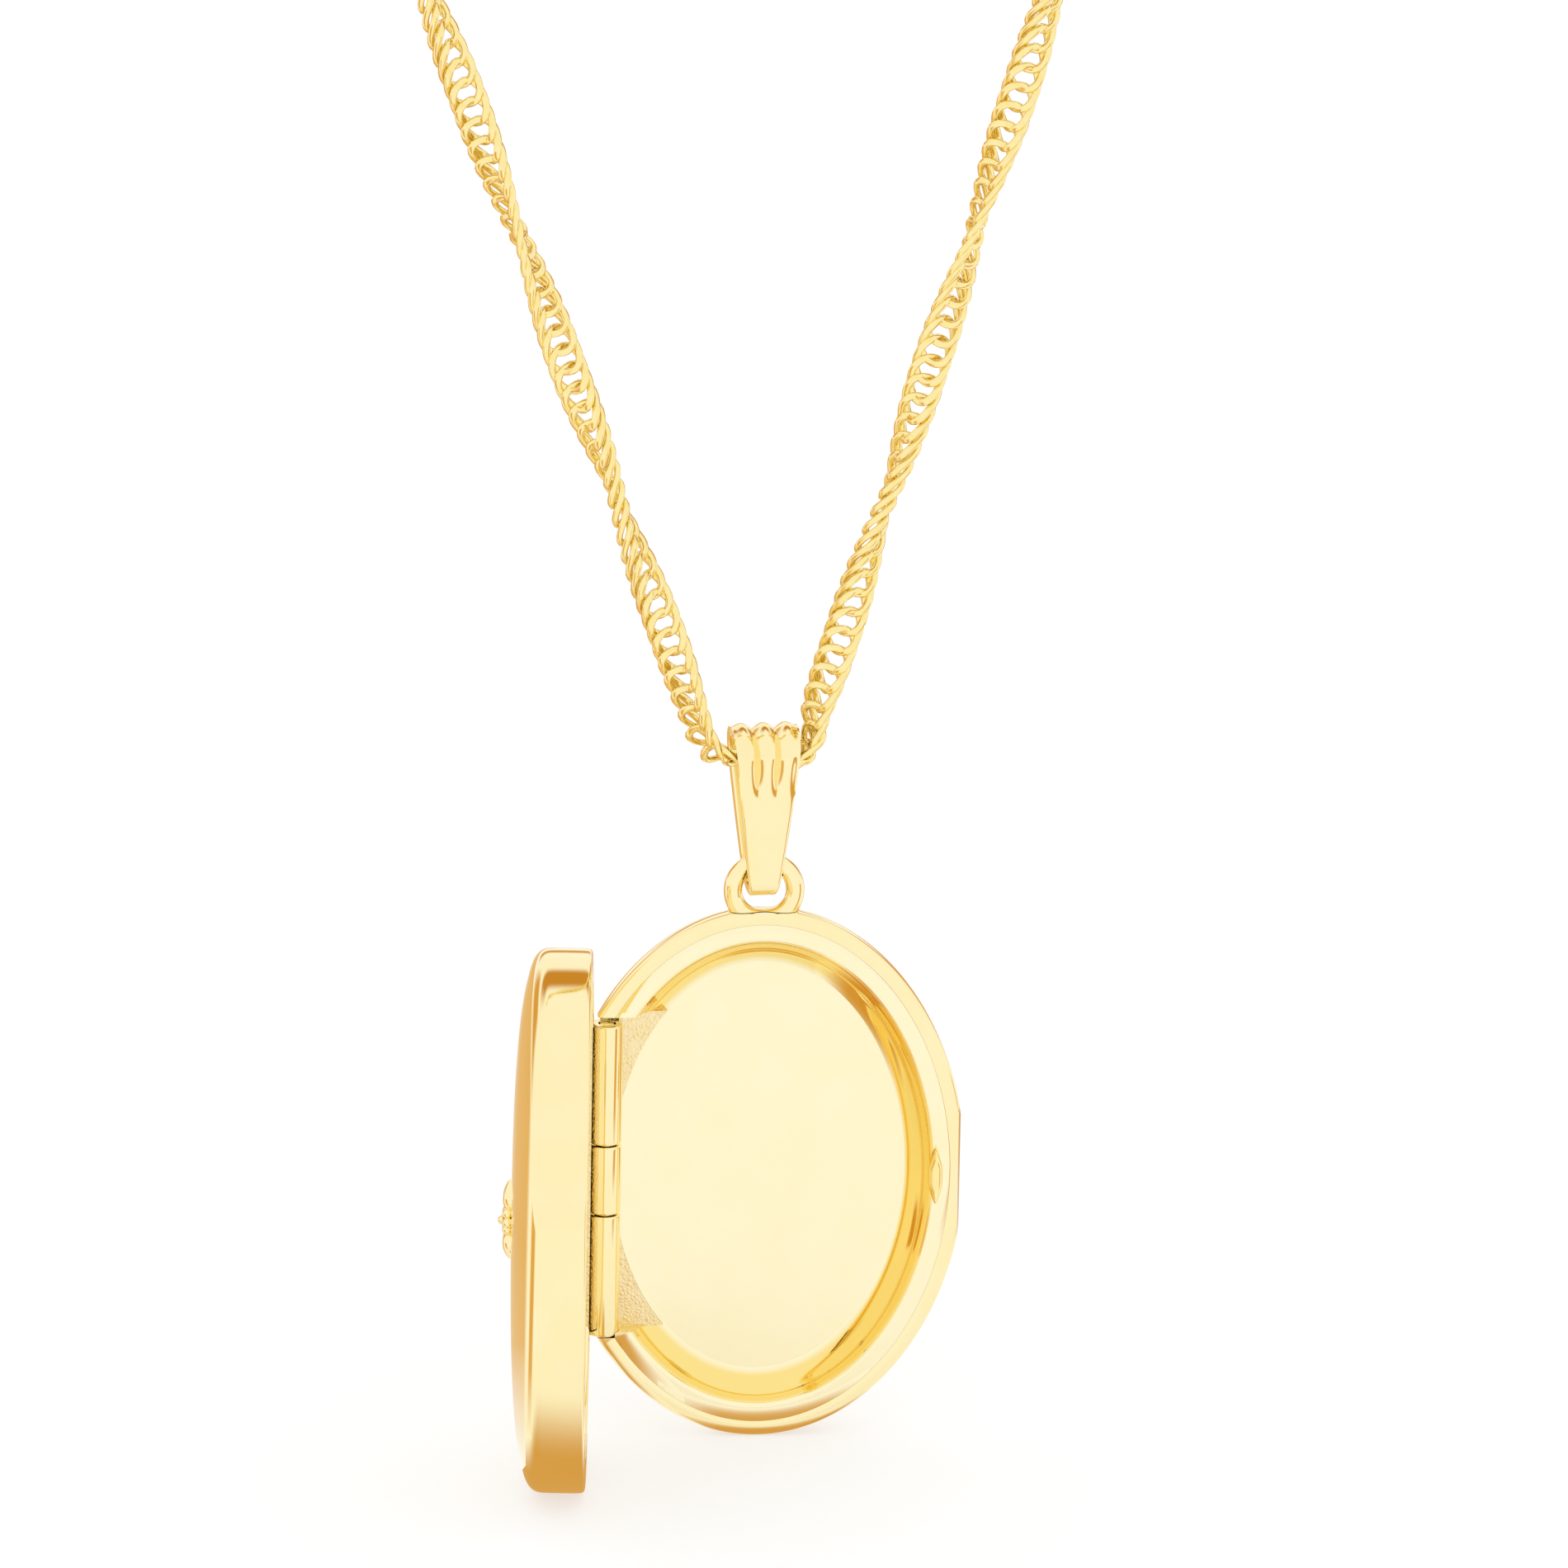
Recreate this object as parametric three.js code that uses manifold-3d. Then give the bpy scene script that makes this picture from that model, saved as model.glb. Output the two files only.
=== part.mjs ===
// An oval hinged locket hanging from a bail on a flat twisted chain.
// Millimetres, +Z up, the open side of the rear half faces -Y.
// The origin is midway between the chain's two upper ends, where the chain is held.
import * as THREE from 'three';
import { mergeVertices } from 'three/addons/utils/BufferGeometryUtils.js';
import Module from 'manifold-3d';

const wasm = await Module();
wasm.setup();

// Driving dimensions
const HALF_W = 9.0;            // oval half width
const HALF_H = 12.1;           // oval half height
const OVAL_EXTRA = HALF_H - HALF_W;
const OVAL_SIDES = 60;
const PLANE_Y = -0.55;         // rear rim plane, ahead of the plane of ring, bail and chain
const OVAL_X = 1.82;           // oval centre from the origin
const OVAL_Z = -57.27;
const PART_GAP = 0.06;         // between the closed rims
const CHORD_X = -7.02;         // straight side that carries the hinge
const HINGE_X = -6.77;
const HINGE_Y = 0.51;          // behind the rear rim plane
const BARREL_R = 0.70;
const PIN_R = 0.32;
const PIN_HOLE_R = 0.38;
const GROOVE_R = 0.745;
const KNUCKLES = { bottom: [-7.43, -1.87], middle: [-1.81, 1.33], top: [1.39, 6.87] };
const SEAT_HALF_Z = 7.2;
const CHORD_HALF_Z = 7.8;
const OPEN_ANGLE = 95;         // degrees the cover stands open at rest
const RING_Z = 12.88;
const RING_R = 1.36;
const RING_WIRE = 0.405;
const RING_SEAT_Z = 11.93;     // flat filed on the rear rim for the ring's foot
const BAIL_X = -0.12;
const BAIL_TOP = 20.45;
const BAIL_BOTTOM = 12.67;
const BAIL_STRAP = 0.44;
const CHAIN_R = 0.76;

const GOLD = { colour: 0xecc25a, rough: 0.16 };
const DEEP_GOLD = { colour: 0xe2a93c, rough: 0.2 };
const PALE_GOLD = { colour: 0xf3d893, rough: 0.22 };
const STEEL = { colour: 0xb9b4a6, rough: 0.35 };

// Solids -------------------------------------------------------------------

function toSolid(geometry) {
  const bare = new THREE.BufferGeometry();
  bare.setAttribute('position', geometry.getAttribute('position').clone());
  const source = geometry.index
    ? Array.from(geometry.index.array)
    : Array.from({ length: bare.getAttribute('position').count }, (_, i) => i);
  bare.setIndex(source);
  const merged = mergeVertices(bare, 1e-4);
  const index = merged.index.array;
  const points = merged.getAttribute('position').array;
  const faces = [];
  let volume = 0;
  for (let i = 0; i < index.length; i += 3) {
    const [a, b, c] = [index[i], index[i + 1], index[i + 2]];
    if (a === b || b === c || a === c) continue;
    faces.push(a, b, c);
    const va = new THREE.Vector3().fromArray(points, a * 3);
    const vb = new THREE.Vector3().fromArray(points, b * 3);
    const vc = new THREE.Vector3().fromArray(points, c * 3);
    volume += va.dot(vb.cross(vc));
  }
  if (volume < 0) {
    for (let i = 0; i < faces.length; i += 3) [faces[i], faces[i + 1]] = [faces[i + 1], faces[i]];
  }
  return new wasm.Manifold(new wasm.Mesh({
    numProp: 3,
    vertProperties: new Float32Array(points),
    triVerts: new Uint32Array(faces),
  }));
}

function toGeometry(solid) {
  const mesh = solid.getMesh();
  const geometry = new THREE.BufferGeometry();
  geometry.setAttribute('position', new THREE.BufferAttribute(new Float32Array(mesh.vertProperties), 3));
  geometry.setIndex(new THREE.BufferAttribute(new Uint32Array(mesh.triVerts), 1));
  return geometry;
}

// A closed or axis-to-axis profile of [inset from the rim, depth] swept round the oval.
function ovalTurned(profile, sides = OVAL_SIDES) {
  const points = profile.map(([inset, depth]) => new THREE.Vector2(HALF_W - inset, depth));
  const geometry = new THREE.LatheGeometry(points, sides);
  const place = geometry.getAttribute('position');
  for (let i = 0; i < place.count; i += 1) {
    const [x, z] = [place.getX(i), place.getZ(i)];
    const r = Math.hypot(x, z);
    if (r > 1e-6) place.setZ(i, z * (1 + OVAL_EXTRA / r));
  }
  return toSolid(geometry);
}

function box(xMin, xMax, yMin, yMax, zMin, zMax) {
  const geometry = new THREE.BoxGeometry(xMax - xMin, yMax - yMin, zMax - zMin);
  geometry.translate((xMin + xMax) / 2, (yMin + yMax) / 2, (zMin + zMax) / 2);
  return toSolid(geometry);
}

// A turned pin or barrel standing along Z at (x, y), with softly broken ends.
function upright(x, y, radius, zMin, zMax, edge = 0, hole = 0, sides = 20) {
  const profile = [[hole, zMin], [radius - edge, zMin], [radius, zMin + edge],
    [radius, zMax - edge], [radius - edge, zMax], [hole, zMax]];
  if (hole > 0) profile.push([hole, zMin]);
  const geometry = new THREE.LatheGeometry(profile.map(([r, h]) => new THREE.Vector2(r, h)), sides);
  geometry.rotateX(Math.PI / 2);
  geometry.translate(x, y, 0);
  return toSolid(geometry);
}

// Sections of equal point count joined into one closed skin; a loop has no end caps.
function loft(sections, closed) {
  const count = sections[0].length;
  const positions = sections.flat().flatMap((p) => [p.x, p.y, p.z]);
  const index = [];
  const rows = closed ? sections.length : sections.length - 1;
  for (let s = 0; s < rows; s += 1) {
    const next = (s + 1) % sections.length;
    for (let i = 0; i < count; i += 1) {
      const j = (i + 1) % count;
      const [a, b, c, d] = [s * count + i, s * count + j, next * count + j, next * count + i];
      index.push(a, b, c, a, c, d);
    }
  }
  if (!closed) {
    const last = (sections.length - 1) * count;
    for (let i = 1; i < count - 1; i += 1) {
      index.push(0, i + 1, i);
      index.push(last, last + i, last + i + 1);
    }
  }
  const geometry = new THREE.BufferGeometry();
  geometry.setAttribute('position', new THREE.Float32BufferAttribute(positions, 3));
  geometry.setIndex(index);
  return toSolid(geometry);
}

// A round wire bent along an arc in the X-Z plane; a full turn closes on itself.
function bentWire(cx, cz, bend, wire, startDeg, sweepDeg, steps, sides = 12, y = 0) {
  const full = sweepDeg >= 360;
  const stations = full ? steps : steps + 1;
  const sections = [];
  for (let s = 0; s < stations; s += 1) {
    const angle = THREE.MathUtils.degToRad(startDeg + (sweepDeg * s) / steps);
    const section = [];
    for (let i = 0; i < sides; i += 1) {
      const turn = (2 * Math.PI * i) / sides;
      const r = bend + wire * Math.cos(turn);
      section.push(new THREE.Vector3(cx + r * Math.cos(angle), y + wire * Math.sin(turn), cz + r * Math.sin(angle)));
    }
    sections.push(section);
  }
  return loft(sections, full);
}

const locketSpace = new THREE.Group();
locketSpace.position.set(OVAL_X, PLANE_Y, OVAL_Z);
const coverSpace = new THREE.Group();
const locket = new THREE.Group();
locket.add(locketSpace, coverSpace);

function addPart(space, name, solid, finish) {
  const material = new THREE.MeshStandardMaterial({ color: finish.colour, roughness: finish.rough, metalness: 1 });
  const mesh = new THREE.Mesh(toGeometry(solid), material);
  mesh.name = name;
  space.add(mesh);
}

// Rear half: shell, tray, hinge seat ------------------------------------------

const grooveCut = upright(HINGE_X, HINGE_Y, GROOVE_R, -9, 9);
const TRAY_INSET = 0.69;       // tray rim starts just inside the shell's rim
const RIM_INSET = 0.65;

// Tray section shared by both halves: flat rim, rounded lip, wall, filleted flat floor.
const TRAY_SECTION = [
  [TRAY_INSET, 0.02], [TRAY_INSET + 0.05, 0], [1.32, 0], [1.42, 0.1], [1.62, 0.55], [1.75, 0.85],
  [2.0, 1.08], [2.35, 1.22], [2.75, 1.27], [HALF_W, 1.27],
  [HALF_W, 1.6], [2.2, 1.6], [1.35, 1.42], [0.86, 1.1], [TRAY_INSET, 0.8], [TRAY_INSET, 0.02]];

const REAR_OUTER = [[0.12, 0], [0, 0.12], [0, 0.55], [0.12, 1.1], [0.45, 1.65], [1.0, 2.1], [1.8, 2.42],
  [2.8, 2.6], [HALF_W, 2.6]];
const REAR_INNER = [[HALF_W, 2.15], [2.9, 2.15], [1.95, 2.0], [1.35, 1.82], [0.95, 1.5], [RIM_INSET, 1.05],
  [RIM_INSET, 0]];
const rearCavity = ovalTurned([[HALF_W, 0], ...REAR_INNER.slice().reverse()
  .map(([inset, depth]) => [inset === HALF_W ? inset : inset + 0.03, depth === 0 ? 0 : depth - 0.03])]);

const chordCut = box(-12, CHORD_X, -8, 8, -CHORD_HALF_Z, CHORD_HALF_Z);
const LEDGE_X = -3.4;
const LEDGE_Y = 0.95;
// The tray's flat floor keeps its whole oval; the notch and the seat stop at its edge
const FLOOR_INSET = 2.6;
const floorColumn = (grow) => ovalTurned([[HALF_W, -3], [FLOOR_INSET - grow, -3], [FLOOR_INSET - grow, 6], [HALF_W, 6]]);
const rearNotch = box(-12, LEDGE_X, -1, LEDGE_Y, -SEAT_HALF_Z - 0.05, SEAT_HALF_Z + 0.05)
  .subtract(floorColumn(0));
const ringSeatCut = box(-4, 4, -1, 4, RING_SEAT_Z, 14);
const NICK_X = 8.66;
const nickShape = new THREE.Shape([[NICK_X, -0.01], [8.8, 0.45], [8.84, 1.2], [10.5, 1.6], [10.5, -0.5],
  [NICK_X, -0.5]].map(([x, y]) => new THREE.Vector2(x, y)));
const nickBar = new THREE.ExtrudeGeometry(nickShape, { depth: 9, bevelEnabled: false });
nickBar.translate(0, 0, -4.35);

const rearShell = ovalTurned([...REAR_OUTER, ...REAR_INNER, [0.12, 0]])
  .subtract(chordCut).subtract(rearNotch).subtract(grooveCut).subtract(ringSeatCut)
  .subtract(toSolid(nickBar));
addPart(locketSpace, 'rear_shell', rearShell, GOLD);

const seatBlock = box(CHORD_X, LEDGE_X, LEDGE_Y, 3, -SEAT_HALF_Z, SEAT_HALF_Z).subtract(floorColumn(0.04));
const seatRoom = box(CHORD_X - 1, LEDGE_X, 0.3, 3, -SEAT_HALF_Z - 0.05, SEAT_HALF_Z + 0.05)
  .subtract(floorColumn(0));
const rearTray = ovalTurned(TRAY_SECTION).subtract(chordCut).subtract(rearNotch).subtract(seatRoom)
  .subtract(grooveCut);
addPart(locketSpace, 'rear_tray', rearTray, DEEP_GOLD);
const rearSeat = seatBlock.intersect(rearCavity).subtract(grooveCut);
addPart(locketSpace, 'rear_hinge_seat', rearSeat, PALE_GOLD);

for (const end of ['top', 'bottom']) {
  const [low, high] = KNUCKLES[end];
  addPart(locketSpace, `hinge_knuckle_${end}`,
    upright(HINGE_X, HINGE_Y, BARREL_R, low, high, 0.12, PIN_HOLE_R), GOLD);
}
addPart(locketSpace, 'hinge_pin',
  upright(HINGE_X, HINGE_Y, PIN_R, KNUCKLES.bottom[0] + 0.05, KNUCKLES.top[1] - 0.05, 0.08, 0, 12), GOLD);

// Hanging ring, its foot cut to sit on the filed flat, behind the rim plane
const ring = bentWire(0, RING_Z, RING_R, RING_WIRE, 0, 360, 30, 10, -PLANE_Y)
  .subtract(box(-3, 3, -2, 4, 8, RING_SEAT_Z + 0.03));
addPart(locketSpace, 'hanging_ring', ring, GOLD);

// Catch tongue: a lozenge standing on the tray's rim
const CATCH = { x: 7.68, z: -0.08, halfX: 0.3, halfZ: 1.25, rise: 0.62 };
const lozenge = [[-0.2, 1], [0.2, 1], [1, 0.35], [1, -0.35], [0.2, -1], [-0.2, -1], [-1, -0.35], [-1, 0.35]];
const catchSections = [[-0.02, 1], [-CATCH.rise * 0.7, 1], [-CATCH.rise, 0.6]].map(([y, k]) => lozenge
  .map(([u, v]) => new THREE.Vector3(CATCH.x + u * k * CATCH.halfX, y, CATCH.z + v * k * CATCH.halfZ)));
addPart(locketSpace, 'catch_tongue', loft(catchSections, false), GOLD);

// Front half, drawn closed over the rear, then swung open about the hinge ------

const FRONT_OUTER = [[0.2, 0], [0.06, 0.07], [0, 0.25], [0, 1.9], [0.07, 2.1], [0.2, 2.28], [0.45, 2.5],
  [0.75, 2.66], [1.1, 2.79], [2.0, 2.97], [3.4, 3.14], [6.0, 3.3], [HALF_W, 3.4]];
const FRONT_INNER = [[HALF_W, 2.95], [6.0, 2.86], [3.4, 2.7], [1.6, 2.42], [0.9, 2.1], [RIM_INSET, 1.8], [RIM_INSET, 0]];
const frontCavity = ovalTurned([[HALF_W, 0], ...FRONT_INNER.slice().reverse()
  .map(([inset, depth]) => [inset === HALF_W ? inset : inset + 0.03, depth === 0 ? 0 : depth - 0.03])]);

// Mirror a rear-facing solid through the parting plane
function faceForward(solid) {
  return solid.mirror([0, 1, 0]).translate([0, -PART_GAP, 0]);
}

// Shallow thumbnail scoop in the cover's upright wall, above its free edge's middle
const SCOOP_TURN = 0.44;
const SCOOP = { along: 4.4, across: 1.25, round: 0.9, depth: 0.18, y: -1.02 };
const normal = new THREE.Vector2(Math.cos(SCOOP_TURN) / HALF_W, Math.sin(SCOOP_TURN) / HALF_H).normalize();
const scoopShape = new THREE.SphereGeometry(1, 24, 16);
scoopShape.scale(SCOOP.round, SCOOP.across, SCOOP.along);
scoopShape.rotateY(-Math.atan2(normal.y, normal.x));
scoopShape.translate(
  HALF_W * Math.cos(SCOOP_TURN) + normal.x * (SCOOP.round - SCOOP.depth),
  SCOOP.y,
  HALF_H * Math.sin(SCOOP_TURN) + normal.y * (SCOOP.round - SCOOP.depth));

const frontShell = faceForward(ovalTurned([...FRONT_OUTER, ...FRONT_INNER, [0.2, 0]]))
  .subtract(chordCut).subtract(grooveCut).subtract(toSolid(scoopShape));
addPart(coverSpace, 'front_shell', frontShell, GOLD);

const FRONT_SEAT_X = -5.8;
const seatSpace = box(CHORD_X - 1, FRONT_SEAT_X, -6, 1, -SEAT_HALF_Z - 0.05, SEAT_HALF_Z + 0.05);
const tongueSlot = box(CATCH.x - 0.5, CATCH.x + 0.45, -0.95, 0.1, CATCH.z - 1.5, CATCH.z + 1.5);
const frontTray = faceForward(ovalTurned(TRAY_SECTION)).subtract(chordCut).subtract(seatSpace)
  .subtract(tongueSlot);
addPart(coverSpace, 'front_tray', frontTray, DEEP_GOLD);
const frontSeat = box(CHORD_X, FRONT_SEAT_X - 0.03, -6, -PART_GAP - 0.04, -SEAT_HALF_Z, SEAT_HALF_Z)
  .intersect(faceForward(frontCavity)).subtract(grooveCut);
addPart(coverSpace, 'front_hinge_seat', frontSeat, PALE_GOLD);
addPart(coverSpace, 'hinge_knuckle_middle',
  upright(HINGE_X, HINGE_Y, BARREL_R, KNUCKLES.middle[0], KNUCKLES.middle[1], 0.05, PIN_HOLE_R), GOLD);
addPart(coverSpace, 'catch_keeper',
  box(CATCH.x - 0.49, CATCH.x - 0.36, -0.9, -PART_GAP - 0.05, CATCH.z - 1.4, CATCH.z + 1.4), PALE_GOLD);

// Small applied ornament on the dome: a flower with a bead, between two leaves
const DOME_Y = -PART_GAP - 3.4;
function leaf(tipZ, rootZ, halfX, rise) {
  const steps = 8;
  const sections = [];
  for (let s = 0; s <= steps; s += 1) {
    const t = s / steps;
    const swell = Math.sin(Math.PI * Math.min(0.97, Math.max(0.03, t)));
    const z = THREE.MathUtils.lerp(rootZ, tipZ, t);
    const section = [];
    for (let i = 0; i < 10; i += 1) {
      const turn = (2 * Math.PI * i) / 10;
      section.push(new THREE.Vector3(halfX * swell * Math.cos(turn),
        DOME_Y - 0.03 - rise * 0.5 * (1 - Math.sin(turn) * (0.3 + 0.7 * swell)), z));
    }
    sections.push(section);
  }
  return loft(sections, false);
}
addPart(coverSpace, 'ornament_leaf_top', leaf(1.85, 0.62, 0.42, 0.36), GOLD);
addPart(coverSpace, 'ornament_leaf_bottom', leaf(-1.75, -0.62, 0.42, 0.36), GOLD);

const petalRing = [];
const PETALS = 6;
for (let i = 0; i < PETALS * 4; i += 1) {
  const turn = (2 * Math.PI * i) / (PETALS * 4);
  const r = 0.5 + 0.09 * Math.cos(PETALS * turn);
  petalRing.push([r * Math.cos(turn), r * Math.sin(turn)]);
}
const flowerSections = [[-0.03, 1], [-0.17, 1], [-0.27, 0.72]].map(([y, k]) => petalRing
  .map(([x, z]) => new THREE.Vector3(x * k, DOME_Y + y, z * k)));
addPart(coverSpace, 'ornament_flower', loft(flowerSections, false), GOLD);
const bead = new THREE.SphereGeometry(0.2, 10, 7);
bead.scale(1, 0.75, 1);
bead.translate(0, DOME_Y - 0.45, 0);
addPart(coverSpace, 'ornament_bead', toSolid(bead), PALE_GOLD);

// The cover's group turns about the hinge pin
const openTurn = THREE.MathUtils.degToRad(-OPEN_ANGLE);
const hingeAt = new THREE.Vector3(HINGE_X, HINGE_Y, 0);
const swung = hingeAt.clone().applyAxisAngle(new THREE.Vector3(0, 0, 1), openTurn);
coverSpace.rotation.z = openTurn;
coverSpace.position.set(OVAL_X, PLANE_Y, OVAL_Z).add(hingeAt).sub(swung);

// Bail: one strap folded round the chain and the ring --------------------------

// Centre line of the strap in the Y-Z plane: a tall loop, wider at the top
const STRAP_HALF = BAIL_STRAP / 2;
const BAIL_TOP_R = 1.2;
const BAIL_FOOT_R = 0.66;
const bailTopZ = BAIL_TOP - STRAP_HALF - BAIL_TOP_R;
const bailFootZ = BAIL_BOTTOM + STRAP_HALF + BAIL_FOOT_R;
const lean = Math.asin((BAIL_TOP_R - BAIL_FOOT_R) / (bailTopZ - bailFootZ));

function strapLine() {
  const line = [];
  const arc = (centreZ, radius, from, to, steps) => {
    for (let s = 0; s <= steps; s += 1) {
      const a = THREE.MathUtils.lerp(from, to, s / steps);
      line.push({ y: radius * Math.cos(a), z: centreZ + radius * Math.sin(a), ny: Math.cos(a), nz: Math.sin(a) });
    }
  };
  const straight = (endY, endZ, steps) => {
    const start = line[line.length - 1];
    for (let s = 1; s < steps; s += 1) {
      line.push({ y: THREE.MathUtils.lerp(start.y, endY, s / steps),
        z: THREE.MathUtils.lerp(start.z, endZ, s / steps), ny: start.ny, nz: start.nz });
    }
  };
  arc(bailTopZ, BAIL_TOP_R, -lean, Math.PI + lean, 14);
  straight(-BAIL_FOOT_R * Math.cos(lean), bailFootZ - BAIL_FOOT_R * Math.sin(lean), 6);
  arc(bailFootZ, BAIL_FOOT_R, Math.PI + lean, 2 * Math.PI - lean, 8);
  straight(BAIL_TOP_R * Math.cos(lean), bailTopZ - BAIL_TOP_R * Math.sin(lean), 6);
  return line;
}

const BAIL_HALF_TOP = 1.5;
const BAIL_HALF_FOOT = 0.56;
const RIBS = 3;
function strapSection(at) {
  const share = THREE.MathUtils.clamp((at.z - BAIL_BOTTOM) / (BAIL_TOP - BAIL_BOTTOM), 0, 1);
  const half = THREE.MathUtils.lerp(BAIL_HALF_FOOT, BAIL_HALF_TOP, Math.pow(share, 0.8));
  const ribHeight = 0.2 * THREE.MathUtils.smoothstep(share, 0.5, 0.9);
  const section = [];
  const across = 9;
  for (let i = 0; i <= across; i += 1) {
    const u = -1 + (2 * i) / across;
    const edge = 0.1 * Math.pow(Math.abs(u), 8);
    const rib = ribHeight * (0.5 - 0.5 * Math.cos(Math.PI * RIBS * (u + 1)));
    section.push([u * half, STRAP_HALF - ribHeight + rib * (1 - Math.pow(u, 12)) - edge]);
  }
  section.push([half * 0.97, -STRAP_HALF + 0.06], [half * 0.88, -STRAP_HALF],
    [-half * 0.88, -STRAP_HALF], [-half * 0.97, -STRAP_HALF + 0.06]);
  return section.map(([x, n]) => new THREE.Vector3(OVAL_X + BAIL_X + x, at.y + at.ny * n, OVAL_Z + at.z + at.nz * n));
}
addPart(locket, 'bail', loft(strapLine().map(strapSection), true), GOLD);

// Chain, end rings, clasp and tag -------------------------------------------------

// Route of the chain's middle, from the clasp's end down through the bail and up to the tag's end
const CHAIN_ROUTE = [
  [-14.28, -1.3], [-12.8, -5.25], [-11.32, -9.2], [-9.84, -13.2], [-8.36, -17.2], [-6.88, -21.2],
  [-5.38, -25.2], [-3.9, -29.2], [-2.42, -33.2], [-1.45, -35.95], [-1.1, -36.85], [-0.7, -37.6],
  [-0.06, -38.14], [0.7, -38.25], [1.7, -38.25], [2.65, -38.25], [3.3, -38.14], [3.72, -37.62],
  [3.92, -36.8], [4.14, -35.8], [5.06, -32.75], [6.31, -28.55], [7.56, -24.35], [8.81, -20.15],
  [10.06, -15.95], [11.31, -11.75], [12.56, -7.55], [13.68, -3.75], [14.38, -1.42]];
const chainCurve = new THREE.CatmullRomCurve3(CHAIN_ROUTE.map(([x, z]) => new THREE.Vector3(x, 0, z)));
const chainSection = new THREE.Shape();
for (let i = 0; i < 8; i += 1) {
  const turn = (2 * Math.PI * i) / 8;
  const [x, y] = [CHAIN_R * Math.cos(turn), CHAIN_R * Math.sin(turn)];
  if (i === 0) chainSection.moveTo(x, y);
  else chainSection.lineTo(x, y);
}
chainSection.closePath();
const chainTube = new THREE.ExtrudeGeometry(chainSection, { steps: 64, bevelEnabled: false, extrudePath: chainCurve });
addPart(locket, 'chain', toSolid(chainTube), GOLD);

// Each end carries a soldered jump ring in the strands' plane, just past the last link
const JUMP_R = 1.05;
const JUMP_WIRE = 0.28;
const JUMP_STEP = JUMP_R + JUMP_WIRE + 0.05;
const claspWay = new THREE.Vector3(-0.355, 0, 0.935);
const tagWay = new THREE.Vector3(0.288, 0, 0.958);
const alongEnd = (end, way, distance) => new THREE.Vector3(end[0], 0, end[1]).addScaledVector(way, distance);
const claspRingAt = alongEnd(CHAIN_ROUTE[0], claspWay, JUMP_STEP);
const tagRingAt = alongEnd(CHAIN_ROUTE[CHAIN_ROUTE.length - 1], tagWay, JUMP_STEP);
addPart(locket, 'clasp_jump_ring',
  bentWire(claspRingAt.x, claspRingAt.z, JUMP_R, JUMP_WIRE, 0, 360, 18, 8), GOLD);
addPart(locket, 'tag_jump_ring',
  bentWire(tagRingAt.x, tagRingAt.z, JUMP_R, JUMP_WIRE, 0, 360, 18, 8), GOLD);

// Spring ring clasp: a hollow ring with a gap, which a sprung bolt inside it closes
const CLASP = { bend: 2.1, wall: 0.6, bore: 0.43, gapFrom: 140, gapTo: 190, away: 4.75 };
const claspAt = claspRingAt.clone().addScaledVector(claspWay, CLASP.away);
const claspArc = (wire, from, to, steps, sides = 9) => bentWire(claspAt.x, claspAt.z, CLASP.bend, wire,
  from, to - from, steps, sides);
function curvedSlot(rMin, rMax, halfY, from, to, steps) {
  const sections = [];
  for (let s = 0; s <= steps; s += 1) {
    const angle = THREE.MathUtils.degToRad(THREE.MathUtils.lerp(from, to, s / steps));
    sections.push([[rMin, -halfY], [rMax, -halfY], [rMax, halfY], [rMin, halfY]].map(([r, y]) => new THREE.Vector3(
      claspAt.x + r * Math.cos(angle), y, claspAt.z + r * Math.sin(angle))));
  }
  return loft(sections, false);
}
const EYE_R = 0.75;
const EYE_WIRE = 0.2;
const eye = new THREE.TorusGeometry(EYE_R, EYE_WIRE, 8, 16);
eye.rotateY(Math.atan2(claspWay.z, -claspWay.x));
const eyeAt = claspRingAt.clone().addScaledVector(claspWay, 1.27);
eye.translate(eyeAt.x, eyeAt.y, eyeAt.z);
const claspBody = claspArc(CLASP.wall, CLASP.gapTo, CLASP.gapFrom + 360, 30)
  .add(toSolid(eye))
  .subtract(claspArc(CLASP.bore, CLASP.gapTo - 4, CLASP.gapFrom + 364, 30))
  .subtract(curvedSlot(2.2, 3.2, 0.33, 42, 110, 7));
addPart(locket, 'clasp_body', claspBody, GOLD);

const knob = new THREE.CylinderGeometry(0.27, 0.27, 1.0, 14);
knob.translate(0, CLASP.bend + 0.7, 0);
knob.rotateX(Math.PI / 2);
knob.rotateY(THREE.MathUtils.degToRad(-10));
knob.translate(claspAt.x, claspAt.y, claspAt.z);
addPart(locket, 'clasp_bolt', claspArc(0.36, 90, 193, 11, 8).add(toSolid(knob)), GOLD);
addPart(locket, 'clasp_spring', claspArc(0.34, -60, 36, 10, 8), STEEL);

// Tag plate on the other end: the clasp's gap hooks through its upper hole
const tagShape = new THREE.Shape();
const TAG = { half: 1.15, low: 1.05, high: 3.6, hole: 0.58, hook: 0.75, thick: 0.45 };
tagShape.absarc(0, TAG.low, 0.95, Math.PI, 2 * Math.PI, false);
tagShape.absarc(0, TAG.high, TAG.half, 0, Math.PI, false);
tagShape.closePath();
for (const [height, radius] of [[TAG.low, TAG.hole], [TAG.high, TAG.hook]]) {
  const hole = new THREE.Path();
  hole.absarc(0, height, radius, 0, 2 * Math.PI, true);
  tagShape.holes.push(hole);
}
const tag = new THREE.ExtrudeGeometry(tagShape, { depth: TAG.thick, bevelEnabled: false, curveSegments: 8 });
tag.translate(0, 0, -TAG.thick / 2);
tag.rotateX(Math.PI / 2);
tag.rotateZ(Math.PI / 2);
tag.rotateY(Math.atan2(tagWay.x, tagWay.z));
tag.translate(tagRingAt.x, tagRingAt.y, tagRingAt.z);
addPart(locket, 'chain_tag', toSolid(tag), GOLD);

export default locket;
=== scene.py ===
import math

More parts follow.
